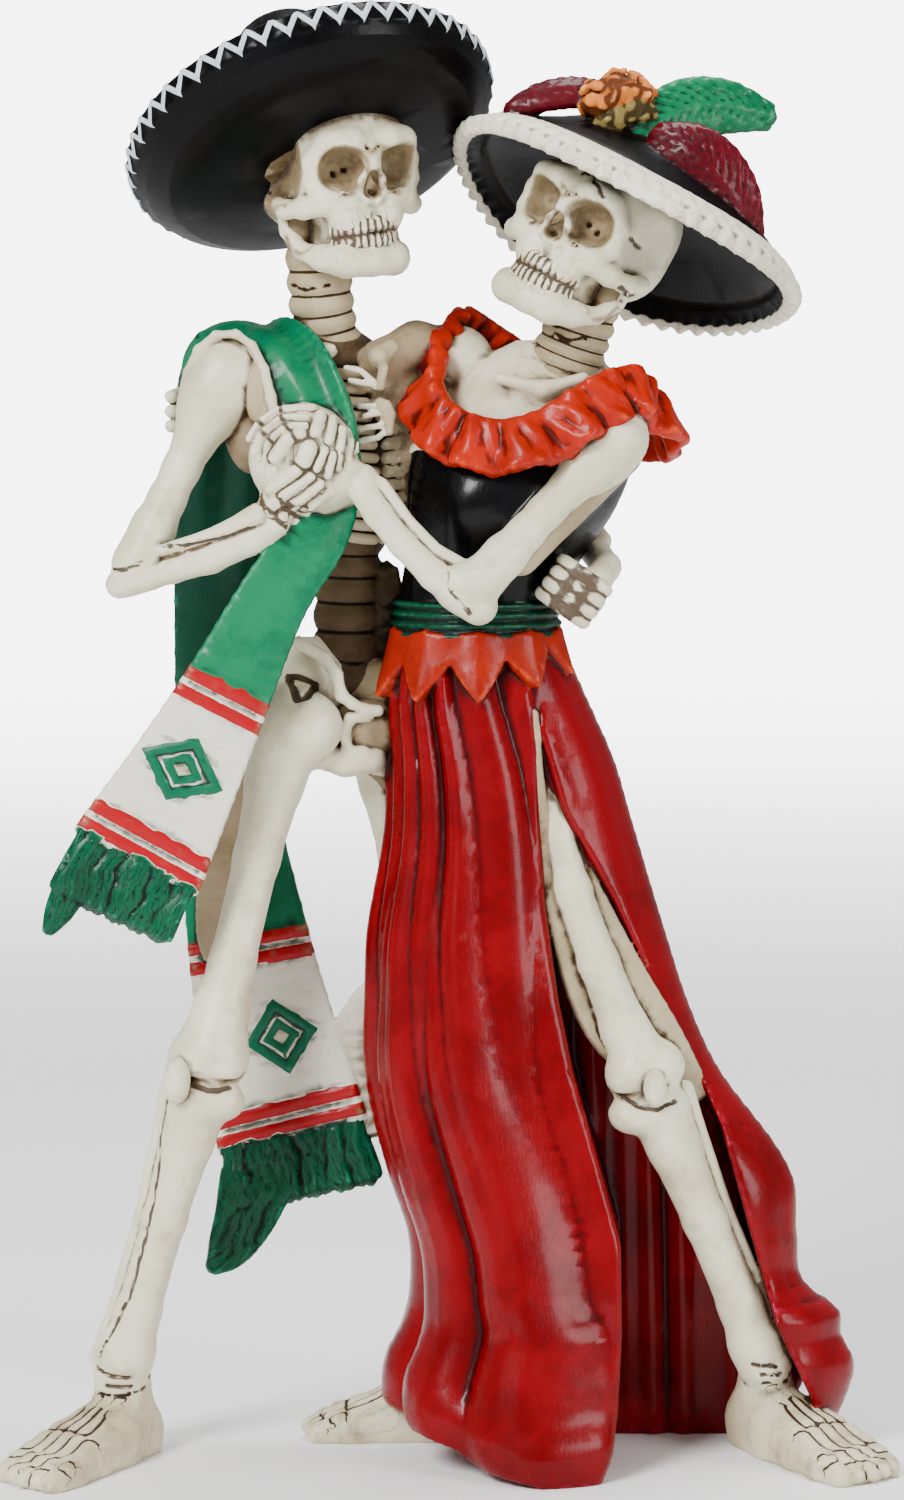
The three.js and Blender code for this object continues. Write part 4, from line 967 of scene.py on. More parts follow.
front_stops = [
    [-38.6, 8, 184, 12, 1, 0, 0.3], [-35.6, 3, 188.6, 14, 1, -0.2, 0.3],
    [-29.9, -5.5, 187.2, 14.4, 0.9, 0.3, 0.4], [-24.4, -9.8, 180.5, 13.2, 1, -0.1, 0.5],
    [-20.8, -12, 171.5, 11, 1, -0.2, 0.1], [-22, -14.6, 159, 11, 0.95, 0, -0.3],
    [-29.7, -17, 146.7, 11.8, 0.87, 0, -0.5], [-37, -18, 132.2, 14.8, 0.82, 0, -0.57],
    [-44.6, -19, 117.6, 18.8, 0.9, 0, -0.43], [-52.4, -20, 103.4, 23.4, 0.957, 0, -0.29],
]
back_stops = [
    [-36.4, 4, 188, 14, 1, -0.2, 0.2], [-40, 11.5, 182.6, 12.6, 1, 0.1, 0.2], [-40.2, 15, 172, 15, 1, 0, 0],
    [-40.2, 16, 144, 15, 1, 0, 0], [-39.6, 14, 117, 15.5, 1, 0, 0.1], [-35, 10, 86, 20.9, 0.98, 0, 0.2],
    [-31.4, 8.6, 69, 23.6, 0.95, 0, 0.3], [-27.4, 7.5, 52.7, 26.3, 0.93, 0, 0.37],
]
front_length, back_length = 114.5, 142.3
stripe_half = 1.15
front_marks = ([front_length - 31.9, front_length - 28.7, front_length - 4.7, front_length - 1.5],
               front_length - 17.0, -0.6, 5.8, 7.6)
back_marks = ([back_length - 34.2, back_length - 31.0, back_length - 4.8, back_length - 1.6],
              back_length - 16.9, 2.2, 6.6, 6.4)
strip("scarf front", front_stops, 3.2, 6, cloth_relief(front_marks, 0.4), blend=0.5, patterned=True)
strip("scarf back", back_stops, 3.2, 6, cloth_relief(back_marks, 2.0), blend=0.5, patterned=True)


def scarf_bands(marks, shaded_to):
    stripes, middle_s, middle_u, half_s, half_u = marks

    def pattern(tree, at, colour):
        spot = add(tree, "Attribute", out="Vector", attribute_name="cloth")
        u, s = (add(tree, "SeparateXYZ", (spot,), side) for side in ("X", "Y"))
        wobble = add(tree, "TexNoise", {"Vector": at, "Scale": 0.9, "Detail": 3.0, "Roughness": 0.55})
        wobble = add(tree, "Math", (wobble, 0.5), operation="SUBTRACT")
        wobble = add(tree, "Math", (wobble, 0.3), operation="MULTIPLY")
        s = add(tree, "Math", (s, wobble), operation="ADD")
        # Painted shade: the back end goes dark green along its upper part; the front end never reaches this
        # ramp
        shaded = add(tree, "MapRange", (s, shaded_to, shaded_to - 40, 0.0, 0.85), **soft)
        colour = add(tree, "Mix", {0: shaded, 6: colour, 7: rgb("#001e16")}, **mixed)
        white = add(tree, "MapRange", (s, stripes[0] - 0.2, stripes[0]), **soft)
        colour = add(tree, "Mix", {0: white, 6: colour, 7: rgb("#d8d3c3")}, **mixed)
        for stripe in stripes:
            off = add(tree, "Math", (s, stripe), operation="SUBTRACT")
            off = add(tree, "Math", (off,), operation="ABSOLUTE")
            red = add(tree, "MapRange", (off, stripe_half - 0.03, stripe_half - 0.17), **soft)
            colour = add(tree, "Mix", {0: red, 6: colour, 7: rgb("#980010")}, **mixed)
        parts = []
        for way, middle, half in ((s, middle_s, half_s), (u, middle_u, half_u)):
            off = add(tree, "Math", (way, middle), operation="SUBTRACT")
            off = add(tree, "Math", (off,), operation="ABSOLUTE")
            parts.append(add(tree, "Math", (off, half), operation="DIVIDE"))
        ring = add(tree, "Math", parts, operation="ADD")
        for edge, shade in (
            (1.0, "#00583c"), (0.66, "#0a2a20"), (0.6, "#c9c7b4"), (0.5, "#00583c"), (0.2, "#b9b39a"),
        ):
            inner = add(tree, "MapRange", (ring, edge + 0.03, edge - 0.01), **soft)
            colour = add(tree, "Mix", {0: inner, 6: colour, 7: rgb(shade)}, **mixed)
        return colour

    return pattern


# Scarf paint: smooth green, with white ends, red stripes and a nested diamond laid on by brush; the back
# end is painted darker along its upper part as painted shade
coats["scarf front"] = coating(
    "scarf paint, front end", "#006a44", "#005436", "#001c14", "#18a478", 0.38, 0.9, 0.5, 0.08,
    scarf_bands(front_marks, -10), shine=0.15,
)
coats["scarf back"] = coating(
    "scarf paint, back end", "#006a44", "#005436", "#001c14", "#18a478", 0.38, 0.9, 0.5, 0.08,
    scarf_bands(back_marks, 92), shine=0.15,
)
coats["scarf edging"] = coating(
    "cream edging paint", "#cfc6ae", "#b8ad92", "#3e2810", "#efe8d6", 0.45, 0.9, 0.5, film="#7c6646",
)
# The web of resin between the scarf's end and her skirt took some of the white paint
coats["scarf web"] = coating(
    "white scarf paint on the web", "#d2ccba", "#c4bca8", "#5c4a32", "#e9e4d6", 0.45, 0.9, 0.4,
)

oval("scarf front", [-36.2, 4.6, 184.0], (9.6, 7.6, 8.4), blend=0.8)
oval("aged bone", [-36.4, -0.6, 183.6], (6.6, 4.6, 6.0), blend=0.6)
oval("unpainted resin", [-33.6, -3.4, 175.4], (4.8, 5.4, 8.6), blend=0.6)
oval("aged bone", [-32.6, -8.8, 181.0], (2.2, 2.8, 5.2), blend=0.5)
edging = [(-44.8, -5.4, 180), (-44.2, -6.4, 184), (-42.4, -7.2, 187.8), (-39.4, -8.0, 190.2),
          (-36.0, -8.6, 190.4), (-33.2, -9.4, 188.4), (-31.2, -10.4, 184.6), (-30.0, -11.4, 180),
          (-29.0, -12.4, 175.6)]
limb("scarf edging", [[x, y, z, 0.7] for x, y, z in edging], blend=0.6)
limb("aged bone", [[-42.6, -4.4, 183.4, 2.2], [-38.8, -5.4, 187.6, 2.4], [-34.6, -6.6, 186.0, 2.6],
                   [-32.0, -8.4, 181, 2.2], [-30.8, -10.0, 176.4, 1.9]], blend=0.8)
front_web = [
    [-36.5, 6.4, 127, 8, 1, 0, 0], [-38.0, 7.6, 110, 9, 1, 0, 0], [-39.0, 7.6, 98, 9, 1, 0, 0.1],
    [-40.0, 7.4, 88, 7.4, 1, 0, 0.1], [-40.6, 7.4, 83.5, 4, 1, 0, 0.1],
]
strip("unpainted resin", front_web, 7.0, 4, blend=0.4)
back_web = [
    [-13.4, 8.6, 79.5, 1.2, 1, 0, 0.2], [-15.4, 8.4, 75, 5.0, 1, 0, 0.2], [-16.6, 8.2, 69, 9.0, 1, 0, 0.2],
    [-16.6, 8.2, 62, 11.5, 1, 0, 0.2], [-15.0, 8.0, 53, 9.0, 1, 0, 0.2],
]
strip("scarf web", back_web, 3.0, 3, blend=0.6)


# The fringe: strands of carved resin that hang under each end of the scarf, cast with it, dark
# green, and set apart by thin dark lines.
strand_pitch = 1.7


def fringe(stops, thick, seed):
    def strands(s, u, half):
        wander = 0.5 * np.sin(s * 0.5 + u * 0.3 + seed) + 0.25 * np.sin(s * 1.3 + u * 0.9)
        coarse = np.abs(np.sin(math.pi * (u + wander) / (2.6 * strand_pitch) + seed))
        fine = np.abs(np.sin(math.pi * (u + wander) / strand_pitch))
        return 0.3 * np.sin(u * 0.6 + seed), 0.7 * np.sqrt(coarse) + 0.6 * np.sqrt(fine) - 0.9

    strip("fringe", stops, thick, 5, strands, blend=0.2, edge=0.8, patterned=True)


def strand_lines(tree, at, colour):
    """Thin dark lines between the strands of the fringe, none of them quite straight."""
    spot = add(tree, "Attribute", out="Vector", attribute_name="cloth")
    u, s = (add(tree, "SeparateXYZ", (spot,), side) for side in ("X", "Y"))
    bend = add(tree, "Math", (s, 0.5), operation="MULTIPLY")
    bend = add(tree, "Math", (bend,), operation="SINE")
    bend = add(tree, "Math", (bend, 0.5), operation="MULTIPLY")
    slow, broken = (
        add(tree, "TexNoise", {"Vector": at, "Scale": scale, "Detail": 3.0, "Roughness": 0.55})
        for scale in (0.35, 0.8)
    )
    wander = add(tree, "Math", (slow, 3.0), operation="MULTIPLY")
    wander = add(tree, "Math", (bend, wander), operation="ADD")
    wave = add(tree, "Math", (u, wander), operation="ADD")
    wave = add(tree, "Math", (wave, 2 * math.pi / strand_pitch), operation="MULTIPLY")
    wave = add(tree, "Math", (wave,), operation="SINE")
    wave = add(tree, "Math", (wave,), operation="ABSOLUTE")
    line = add(tree, "MapRange", (wave, 0.42, 0.12), **soft)
    broken = add(tree, "MapRange", (broken, 0.36, 0.56), **soft)
    shown = add(tree, "Math", (line, broken), operation="MULTIPLY")
    return add(tree, "Mix", {0: shown, 6: colour, 7: rgb("#00100a")}, **mixed)


# Tassel paint: a darker green with a wet look, with a painted highlight on the raised strands
coats["fringe"] = coating(
    "green tassel paint", "#004a30", "#003824", "#000e08", "#18906a", 0.36, 1.0, 0.7, 0.08, strand_lines,
)

fringe([[-52.3, -20.1, 103.5, 21.6, 0.955, 0, -0.295], [-55.0, -20.6, 98.4, 22.2, 0.962, 0, -0.27],
        [-56.6, -20.6, 95.0, 22.6, 0.975, 0, -0.2]], 3.4, 1)
fringe([[-63.2, -20, 99.0, 6.0, 1, 0, -0.1], [-65.4, -20.2, 94.8, 4.8, 1, 0, -0.1],
        [-67.0, -20.3, 91.8, 2.4, 1, 0, -0.1]], 3.0, 2)
fringe([[-27.3, 7.4, 52.3, 24.6, 0.93, 0, 0.37], [-26.2, 7.2, 47.0, 26.6, 0.965, 0, 0.26],
        [-25.4, 6.8, 43.2, 27.6, 0.97, 0, 0.24]], 3.6, 3)
fringe([[-33.6, 6.9, 44.6, 13.0, 0.98, 0, 0.2], [-35.8, 6.7, 38.0, 10.4, 0.97, 0, 0.24],
        [-38.6, 6.6, 32.6, 7.4, 0.96, 0, 0.28], [-41.2, 6.6, 29.6, 3.0, 0.96, 0, 0.3]], 3.4, 4)


# The woman's bust rises out of a black bodice, with a ruffle in deep waves round the shoulders:
# carved cloth of the same resin, painted to look like chest, satin and frill.

# Bodies and skirts are level slices of [z, left, right, front, back], smoothed between.
def trunk(paint, slices, pole=0.5, relief=None, blend=0.6, extra=None):
    slices = np.array(sorted(slices), float)
    level = slices[:, 0]
    table = np.linspace(level[0], level[-1], 400)
    left, right, front, back = (
        smooth_line(table, level, slices[:, i]).astype(np.float32) for i in (1, 2, 3, 4)
    )

    def distance(x, y, z):
        at = (np.clip(z, level[0], level[-1]) - level[0]) / (level[-1] - level[0]) * 399
        i = at.astype(int)
        l, r, f, b = left[i], right[i], front[i], back[i]
        mid_x = l + (r - l) * pole
        mid_y = 0.5 * (f + b)
        rx = np.where(x > mid_x, r - mid_x, mid_x - l)
        ry = 0.5 * (b - f)
        u, v = (x - mid_x) / rx, (y - mid_y) / ry
        near = np.sqrt(u * u + v * v)
        slope = np.sqrt((u / rx) ** 2 + (v / ry) ** 2)
        d = near * (near - 1) / np.maximum(slope, 1e-3)
        if relief is not None:
            d = d - relief(np.arctan2(v, u), z, near)
        d = np.maximum(d, np.maximum(z - level[-1], level[0] - z))
        return d if extra is None else extra(d, x, y, z)

    low = [slices[:, 1].min() - 3, slices[:, 3].min() - 3, level[0]]
    high = [slices[:, 2].max() + 3, slices[:, 4].max() + 3, level[-1]]
    form(paint, distance, low, high, blend)


trunk("chest paint", [
    [171, -6.8, 31.0, -12.6, 12], [175, -4.6, 31.2, -10.4, 13], [181, -0.5, 30.0, -7.6, 12.5],
    [186, 5, 25, -4.2, 9], [189, 11, 22, -1, 6],
], blend=1.5)
oval("chest paint", [1.5, 5.5, 185.5], (5.5, 6.0, 5.5), blend=2.0)
limb("chest paint", [[8, -8.2, 183.0, 1.0], [15, -9.4, 181.2, 1.0], [22, -8.0, 183.0, 1.0]], blend=2.4)


def bust(angle, z, near):
    lift = np.exp(-((z - 163) / 7.0) ** 2)
    ahead = angle + 0.5 * math.pi
    two = np.exp(-((ahead + 0.45) / 0.32) ** 2) + np.exp(-((ahead - 0.5) / 0.34) ** 2)
    crease = 0.3 * np.exp(-((z - 150) / 9) ** 2) * np.sin(angle * 9 + z * 0.25)
    return 1.5 * lift * two + crease


# Chest: the bones' ivory, a little warmer and flatter. Bodice: glossy black. Ruffle: glossy orange
coats["chest paint"] = coating(
    "chest paint", "#d8ceb6", "#beb296", "#4c381e", "#f2eddf", 0.5, 0.9, 0.6, film="#8a7854",
)
coats["black bodice"] = coating(
    "black bodice paint", "#030304", "#08080a", "#010101", "#1c1d22", 0.26, 0.6, 0.3, 0.12, shine=0.1,
)
coats["orange ruffle"] = coating(
    "orange ruffle paint", "#a41a02", "#8a1202", "#340402", "#e0481a", 0.34, 0.9, 0.5, 0.08,
)


trunk("black bodice", [
    [136, -9, 17.5, -11, 11], [144, -8.8, 17.6, -11, 10.5], [152, -7.8, 21.6, -12.2, 10.5],
    [161, -7.2, 27.6, -14, 11], [168, -6.8, 30.4, -13.2, 12], [174.5, -5.6, 31.0, -11, 12],
], relief=bust, blend=0.4)
ruffle_path = [
    [1.5, 8, 190.6], [-3.0, -1, 184.4], [-3.4, -8.6, 177], [2.6, -13.2, 172.8], [10.4, -15.4, 172.0],
    [17.4, -14.8, 174.6], [24, -12.6, 178.8], [30, -7.6, 180.6], [35.0, -1, 175.6], [33.6, 8, 172.6],
    [22, 14, 177], [8, 13.5, 186],
]
ruffle_middle = np.array([14.0, -1.0, 0.0])
ruffle_stops = []
for x, y, z in ruffle_path + ruffle_path[:1]:
    out = np.array([x, y, 0]) - ruffle_middle
    out /= np.linalg.norm(out)
    ruffle_stops.append([x + 0.8 * out[0], y + 0.8 * out[1], z, 9.4, -0.42 * out[0], -0.42 * out[1], 0.9])


def waves(s, u, half):
    low_edge = 0.5 - 0.5 * u / half
    big = np.sin(2 * math.pi * s / 8.2 + 0.9 * np.sin(s * 0.21))
    small = np.sin(2 * math.pi * s / 3.7 + u * 0.9)
    swell = 0.35 * np.sin(2 * math.pi * s / 4.1 + 1.3) - 0.1
    return (0.25 + 1.15 * low_edge) * big + 0.3 * small, swell


strip("orange ruffle", ruffle_stops, 3.0, 5, waves, blend=0.5, edge=0.9)


# Sash and peplum: a band wound round the waist with grooves between its turns, and ten pointed
# flaps below it over the top of the skirt. Both are carved and painted resin.

# Dark green and burnt orange paint, both satin, with a dark line of wash and painted shade in each groove
coats["green sash"] = coating(
    "green sash paint", "#002e1e", "#002418", "#000c08", "#0c6a46", 0.32, 0.9, 0.5, 0.08,
)
coats["orange peplum"] = coating(
    "orange peplum paint", "#8e1600", "#740e00", "#280300", "#d85020", 0.34, 0.9, 0.5, 0.08,
)


def grooves(angle, z, near):
    return 0.42 * np.cos(2 * math.pi * (z - 138) / 1.75 + 0.8 * np.sin(angle)) - 0.1


trunk("green sash", [
    [138.6, -10.4, 18.6, -12.8, 12.6], [141.6, -10.2, 18.4, -12.8, 12.6], [145.4, -9.8, 18.2, -12.4, 12.2],
], relief=grooves, blend=0.3)

flaps = 10


def flap_edge(d, x, y, z):
    angle = np.arctan2((y - 0.3) / 13.5, (x - 4.4) / 15.0)
    wave = np.abs((angle * flaps / (2 * math.pi)) % 1 - 0.5) * 2
    edge = 129.0 + 6.4 * wave + 0.28 * np.clip(x - 6, 0, 16)
    return np.maximum(d - 0.9 * (1 - wave), edge - z)


trunk("orange peplum", [
    [124, -14.2, 23.6, -16.2, 16.8], [130, -12.8, 21.8, -15.2, 15.6], [136, -11.2, 19.6, -13.6, 13.8],
    [140, -10.2, 18.4, -12.8, 12.6],
], blend=0.3, extra=flap_edge)


# The skirt: a mass of resin cast with the bodice and carved in folds, down to a hem on the ground,
# and slit at the front for her left leg.

# Crimson gloss paint: the wettest of the paints, with painted shade in the creases and a painted
# highlight on the fold tops
coats["red skirt"] = coating(
    "crimson skirt paint", "#74000a", "#5e0006", "#2a0002", "#b4203e", 0.26, 0.85, 0.5, 0.12, shine=0.08,
)
slit = np.array([
    [124, 13.9, 14.6, -9], [111, 14.4, 18.4, -8.5], [95, 15.6, 27.2, -7.4], [79, 17.9, 34.6, -5.4],
    [67, 20.4, 40.8, -2], [57, 23.2, 45.4, 0], [39, 28.2, 50.4, 3], [24, 28.4, 54.6, 5], [10, 27.6, 61, 8],
    [-4, 24, 64, 9],
], float)[::-1]


def folds(angle, z, near):
    drop = np.clip((140 - z) / 140, 0, 1)
    gathers = 2 * np.abs(np.cos(0.5 * (17 * angle + 0.022 * z + 1.0))) - 1.1
    fine = (0.75 * (1 - drop) ** 1.2 + 0.12) * gathers
    sway = 0.9 * np.sin(z / 26.0)
    broad = (0.3 + 1.9 * drop) * (2 * np.abs(np.cos(0.5 * (8 * angle + sway + 0.4))) - 1.15)
    calm = np.clip((angle + 1.05) / 0.25, 0, 1) * np.clip((0.7 - angle) / 0.4, 0, 1)
    calm = calm * np.clip((z - 46) / 24, 0, 1)
    return (fine + broad) * (1 - 0.85 * calm)


def open_slit(d, x, y, z):
    left, right, back = (np.interp(z, slit[:, 0], slit[:, i]) for i in (1, 2, 3))
    inner_folds = 0.9 * np.abs(np.sin(x * 0.42 + 0.012 * z)) + 0.35 * np.sin(x * 1.3 + 0.03 * z)
    gap = np.maximum(np.maximum(left - x, x - right), y - back + inner_folds)
    lifted = np.interp(x, [-14, -5, 0, 7, 14, 20], [8.0, 6.5, 5.2, 1.8, 0.5, -3.0])
    lifted = lifted - 0.5 * np.clip(y - 2, 0, 30)
    return np.maximum(-soft_min(-d, gap, 1.6), lifted - z)


skirt_slices = [
    [139, -9, 18, -11, 12], [128, -10.4, 23.0, -12.8, 13.8], [118, -10.0, 27.4, -13.8, 15],
    [108, -10.2, 30.4, -14.8, 16], [86, -13.4, 37.0, -17.8, 18], [79, -13.6, 39.2, -18.8, 18.4],
    [67, -13.9, 44.2, -20.4, 19.6], [46, -9.6, 57.0, -24.6, 23], [37, -6.6, 57.4, -26.5, 24.5],
    [28, -6.0, 59.4, -28, 26], [24, -6.4, 64.4, -28.6, 27], [20, -7.6, 64.8, -29.2, 28],
    [15, -10.0, 67.0, -30, 29], [9, -10.4, 65.6, -31, 30], [3, -8.0, 63, -32, 31], [-3, -6, 62, -32, 31],
]
trunk("red skirt", skirt_slices, 0.3, folds, blend=0.5, extra=open_slit)
# Webs in the slit beside her thigh, in the darker aged-bone paint, which is painted shade on these set-back
# webs
strip("aged bone", [
    [13.8, -9.4, 127, 1.0, 1, 0.1, 0], [15.2, -9.4, 108, 2.4, 1, 0.2, 0.2],
    [18.6, -9.6, 91, 5.0, 1, 0.25, 0.2], [26.6, -9.8, 75, 9.6, 1, 0.3, 0.2],
    [36.4, -8.6, 64, 7.0, 1, 0.3, 0.2],
], 3.2, 5, blend=0.3)
strip("aged bone", [
    [18.6, -7.0, 110, 1.0, 1, 0.1, 0], [23.4, -8.0, 98, 2.4, 1, 0.2, 0.2],
    [29.8, -9.0, 84, 4.2, 1, 0.25, 0.2], [36.4, -8.8, 72, 5.0, 1, 0.3, 0.2],
    [41.6, -6.0, 62, 4.0, 1, 0.3, 0.2],
], 3.0, 5, blend=0.3)
limb("red skirt", [[1.0, -22.5, 11.0, 1.6], [7.0, -27.0, 6.0, 2.6], [15.0, -29.0, 4.6, 3.2],
                   [22.5, -27.5, 5.6, 3.0]], blend=4.0)


# The casting: all forms are poured into one volume, cut level with the ground, and skinned. The
# real couple is one piece of resin too, from a mould with the webs left in.
voxel = 0.42
volume_high = np.array([80.0, 48.0, 248.5])
count = np.ceil((volume_high - volume_low) / voxel).astype(int)
axes = [(volume_low[i] + voxel * np.arange(count[i])).astype(np.float32) for i in range(3)]
field = np.full(count, far, np.float32)

reach = 2.2 * voxel
for paint, distance, low, high, blend, cut, *_ in forms:
    if paint == "stain":
        continue
    first = np.maximum(((low - blend - reach - volume_low) / voxel).astype(int), 0)
    last = np.minimum(((high + blend + reach - volume_low) / voxel).astype(int) + 2, count)
    if np.any(last <= first):
        continue
    part = tuple(slice(a, b) for a, b in zip(first, last))
    x, y, z = np.ix_(*(axes[i][part[i]] for i in range(3)))
    near = distance(x, y, z).astype(np.float32)
    if cut:
        field[part] = -soft_min(-field[part], near, blend)
    else:
        field[part] = soft_min(field[part], near, blend)
field = np.maximum(field, -axes[2][None, None, :])
np.clip(field, -far, far, out=field)
grid = openvdb.FloatGrid(far)
grid.copyFromArray(field)
points, _, quads = grid.convertToPolygons(0.0, 0.0)


# The skin keeps its outer shell only, and is thinned where it is smooth.
def shell_mesh(name, places, corners):
    made = bpy.data.meshes.new(name)
    sides = corners.shape[1]
    made.vertices.add(len(places))
    made.vertices.foreach_set("co", places.astype(np.float32).ravel())
    made.loops.add(corners.size)
    made.loops.foreach_set("vertex_index", corners.astype(np.int32).ravel())
    made.polygons.add(len(corners))
    made.polygons.foreach_set("loop_start", np.arange(0, corners.size, sides, dtype=np.int32))
    made.update(calc_edges=True)
    return made


def outer_shell(places, corners):
    group = np.arange(len(places))
    while True:
        lowest = group[corners].min(1)
        before = group.copy()
        for k in range(corners.shape[1]):
            np.minimum.at(group, corners[:, k], lowest)
        group = group[group]
        if np.array_equal(before, group):
            break
    names, sizes = np.unique(group, return_counts=True)
    kept = group == names[sizes.argmax()]
    renumbered = np.cumsum(kept) - 1
    return places[kept], renumbered[corners[kept[corners[:, 0]]]]


places, corners = outer_shell(points.astype(float), quads.astype(np.int64))
dense = shell_mesh("dense", places * voxel + volume_low, corners)
draft = bpy.data.objects.new("dense", dense)
bpy.context.collection.objects.link(draft)
thinning = draft.modifiers.new("thinning", "DECIMATE")
triangle_goal = 166000
thinning.ratio = min(1.0, triangle_goal / (2 * len(corners)))
evaluated = draft.evaluated_get(bpy.context.evaluated_depsgraph_get())
thinned = bpy.data.meshes.new_from_object(evaluated)
thinned.calc_loop_triangles()
places = np.zeros(len(thinned.vertices) * 3)
thinned.vertices.foreach_get("co", places)
places = places.reshape(-1, 3)
corners = np.zeros(len(thinned.loop_triangles) * 3, np.int64)
thinned.loop_triangles.foreach_get("vertices", corners)
corners = corners.reshape(-1, 3)
bpy.data.meshes.remove(dense)


# How hollow the surface is at a point: the mean distance to the skin round about, which is
# below zero in a crevice and above zero on an edge.
def mean_around(values, reach):
    wide = 2 * reach + 1
    for axis in range(3):
        padding = [(0, 0)] * 3
        padding[axis] = (reach + 1, reach)
        total = np.cumsum(np.pad(values, padding, "edge"), axis=axis, dtype=np.float32)
        size = total.shape[axis]
        upper = np.take(total, range(wide, size), axis)
        values = (upper - np.take(total, range(0, size - wide), axis)) / wide
    return values


def sampled(values, where):
    spot = (where - volume_low) / voxel
    first = np.clip(spot.astype(int), 0, count - 2)
    part = spot - first
    total = np.zeros(len(where))
    for corner in range(8):
        offset = np.array([(corner >> k) & 1 for k in range(3)])
        weight = np.prod(np.where(offset, part, 1 - part), axis=1)
        total += weight * values[tuple((first + offset).T)]
    return total


# Crevice and hollow set where each paint darkens, as wash and as painted shade, and where edges take a
# painted highlight
crevice_reach, hollow_reach = 0.9, 2.4
near_field = np.clip(field, -3, 3)
crevice = sampled(mean_around(near_field, max(1, round(crevice_reach / voxel))), places)
hollow = sampled(mean_around(near_field, max(2, round(hollow_reach / voxel))), places)

# Which paint covers a point: that of the nearest form
paints = []
for paint, *_ in forms:
    if paint not in paints + ["stain"]:
        paints.append(paint)
paint_distance = np.full((len(places), len(paints)), far)
cloth = np.zeros((len(places), 3))
recess = np.full(len(places), far)
carved = np.full((len(places), 1), far)
cloth_near = np.full(len(places), far)
toned = np.full((len(places), 2), far)
for paint, distance, low, high, blend, cut, pattern, tone in forms:
    stained = paint == "stain" or (cut and tone)
    if cut and not stained:
        continue
    inside = np.flatnonzero(np.all((places > low - 1.5) & (places < high + 1.5), axis=1))
    if not len(inside):
        continue
    x, y, z = places[inside].T
    near = distance(x, y, z)
    if stained:
        near = np.abs(near) if cut else near
        if tone == 2:
            carved[inside, 0] = np.minimum(carved[inside, 0], near)
        else:
            recess[inside] = np.minimum(recess[inside], near)
        continue
    column_now = paint_distance[inside, paints.index(paint)]
    nearer = near < column_now
    paint_distance[inside[nearer], paints.index(paint)] = near[nearer]
    if tone:
        toned[inside, (tone + 1) // 2] = np.minimum(toned[inside, (tone + 1) // 2], near)
    if pattern is not None:
        u, _, half, s, _ = pattern(x, y, z)
        nearer = near < cloth_near[inside]
        cloth_near[inside[nearer]] = near[nearer]
        cloth[inside[nearer]] = np.stack([u, s, half], 1)[nearer]
painted_as = paint_distance.argmin(1)

# Triangles that two or three paints share are divided where the paints meet
seam = 0.5 * (toned[:, :1] - toned[:, 1:])
seam = np.where(seam < 0, -1, 1) * (np.abs(seam) + 4 * np.maximum(toned.min(1, keepdims=True) - 0.25, 0))
seam = np.where(seam < 0, -1, 1) * np.minimum(np.abs(seam), carved)
facts = np.concatenate([places, crevice[:, None], hollow[:, None], cloth, seam, recess[:, None]], axis=1)
kinds = painted_as[corners]
whole = (kinds[:, 0] == kinds[:, 1]) & (kinds[:, 1] == kinds[:, 2])
shared = corners[~whole]
sides = np.concatenate([shared[:, [0, 1]], shared[:, [1, 2]], shared[:, [2, 0]]])
sides = np.sort(sides[painted_as[sides[:, 0]] != painted_as[sides[:, 1]]], axis=1)
sides = np.unique(sides, axis=0)
one, two = sides.T
gap_one = paint_distance[one, painted_as[two]] - paint_distance[one, painted_as[one]]
gap_two = paint_distance[two, painted_as[one]] - paint_distance[two, painted_as[two]]
share = np.clip(gap_one / np.maximum(gap_one + gap_two, 1e-6), 0.05, 0.95)[:, None]
meeting = dict(zip(map(tuple, sides.tolist()), range(len(places), len(places) + len(sides))))
facts = np.concatenate([facts, facts[one] * (1 - share) + facts[two] * share])
centres = []
divided, divided_paint = [], []
for a, b, c in shared.tolist():
    trio = [a, b, c]
    names = [painted_as[v] for v in trio]
    between = [meeting.get((min(trio[k], trio[k - 2]), max(trio[k], trio[k - 2]))) for k in range(3)]
    if None in between:
        odd = (between.index(None) + 2) % 3
        o, p, q = trio[odd], trio[odd - 2], trio[odd - 1]
        first, last = between[odd], between[odd - 1]
        divided += [(o, first, last), (first, p, q), (first, q, last)]
        divided_paint += [names[odd], names[odd - 2], names[odd - 2]]
    else:
        middle = len(facts) + len(centres)
        centres.append(facts[trio].mean(0))
        for k in range(3):
            divided += [(trio[k], between[k], middle), (trio[k], middle, between[k - 1])]
            divided_paint += [names[k]] * 2
if centres:
    facts = np.concatenate([facts, centres])
corners = np.concatenate([corners[whole], np.array(divided)])
face_paint = np.concatenate([kinds[whole][:, 0], divided_paint])
places = (facts[:, :3] + to_frame) / 1000
skin = shell_mesh("painted_couple", places, corners)
couple = bpy.data.objects.new("painted_couple", skin)
bpy.context.collection.objects.link(couple)
skin.polygons.foreach_set("material_index", face_paint.astype(np.int32))
skin.shade_smooth()
for name, values in (("crevice", facts[:, 3]), ("hollow", facts[:, 4]), ("seam", facts[:, 8]),
                     ("recess", facts[:, 9])):
    layer = skin.attributes.new(name, "FLOAT", "POINT")
    layer.data.foreach_set("value", values.astype(np.float32))
layer = skin.attributes.new("cloth", "FLOAT_VECTOR", "POINT")
layer.data.foreach_set("vector", facts[:, 5:8].astype(np.float32).ravel())
for paint in paints:
    skin.materials.append(coats[paint])
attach(couple, "root")
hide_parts("dancing_couple")

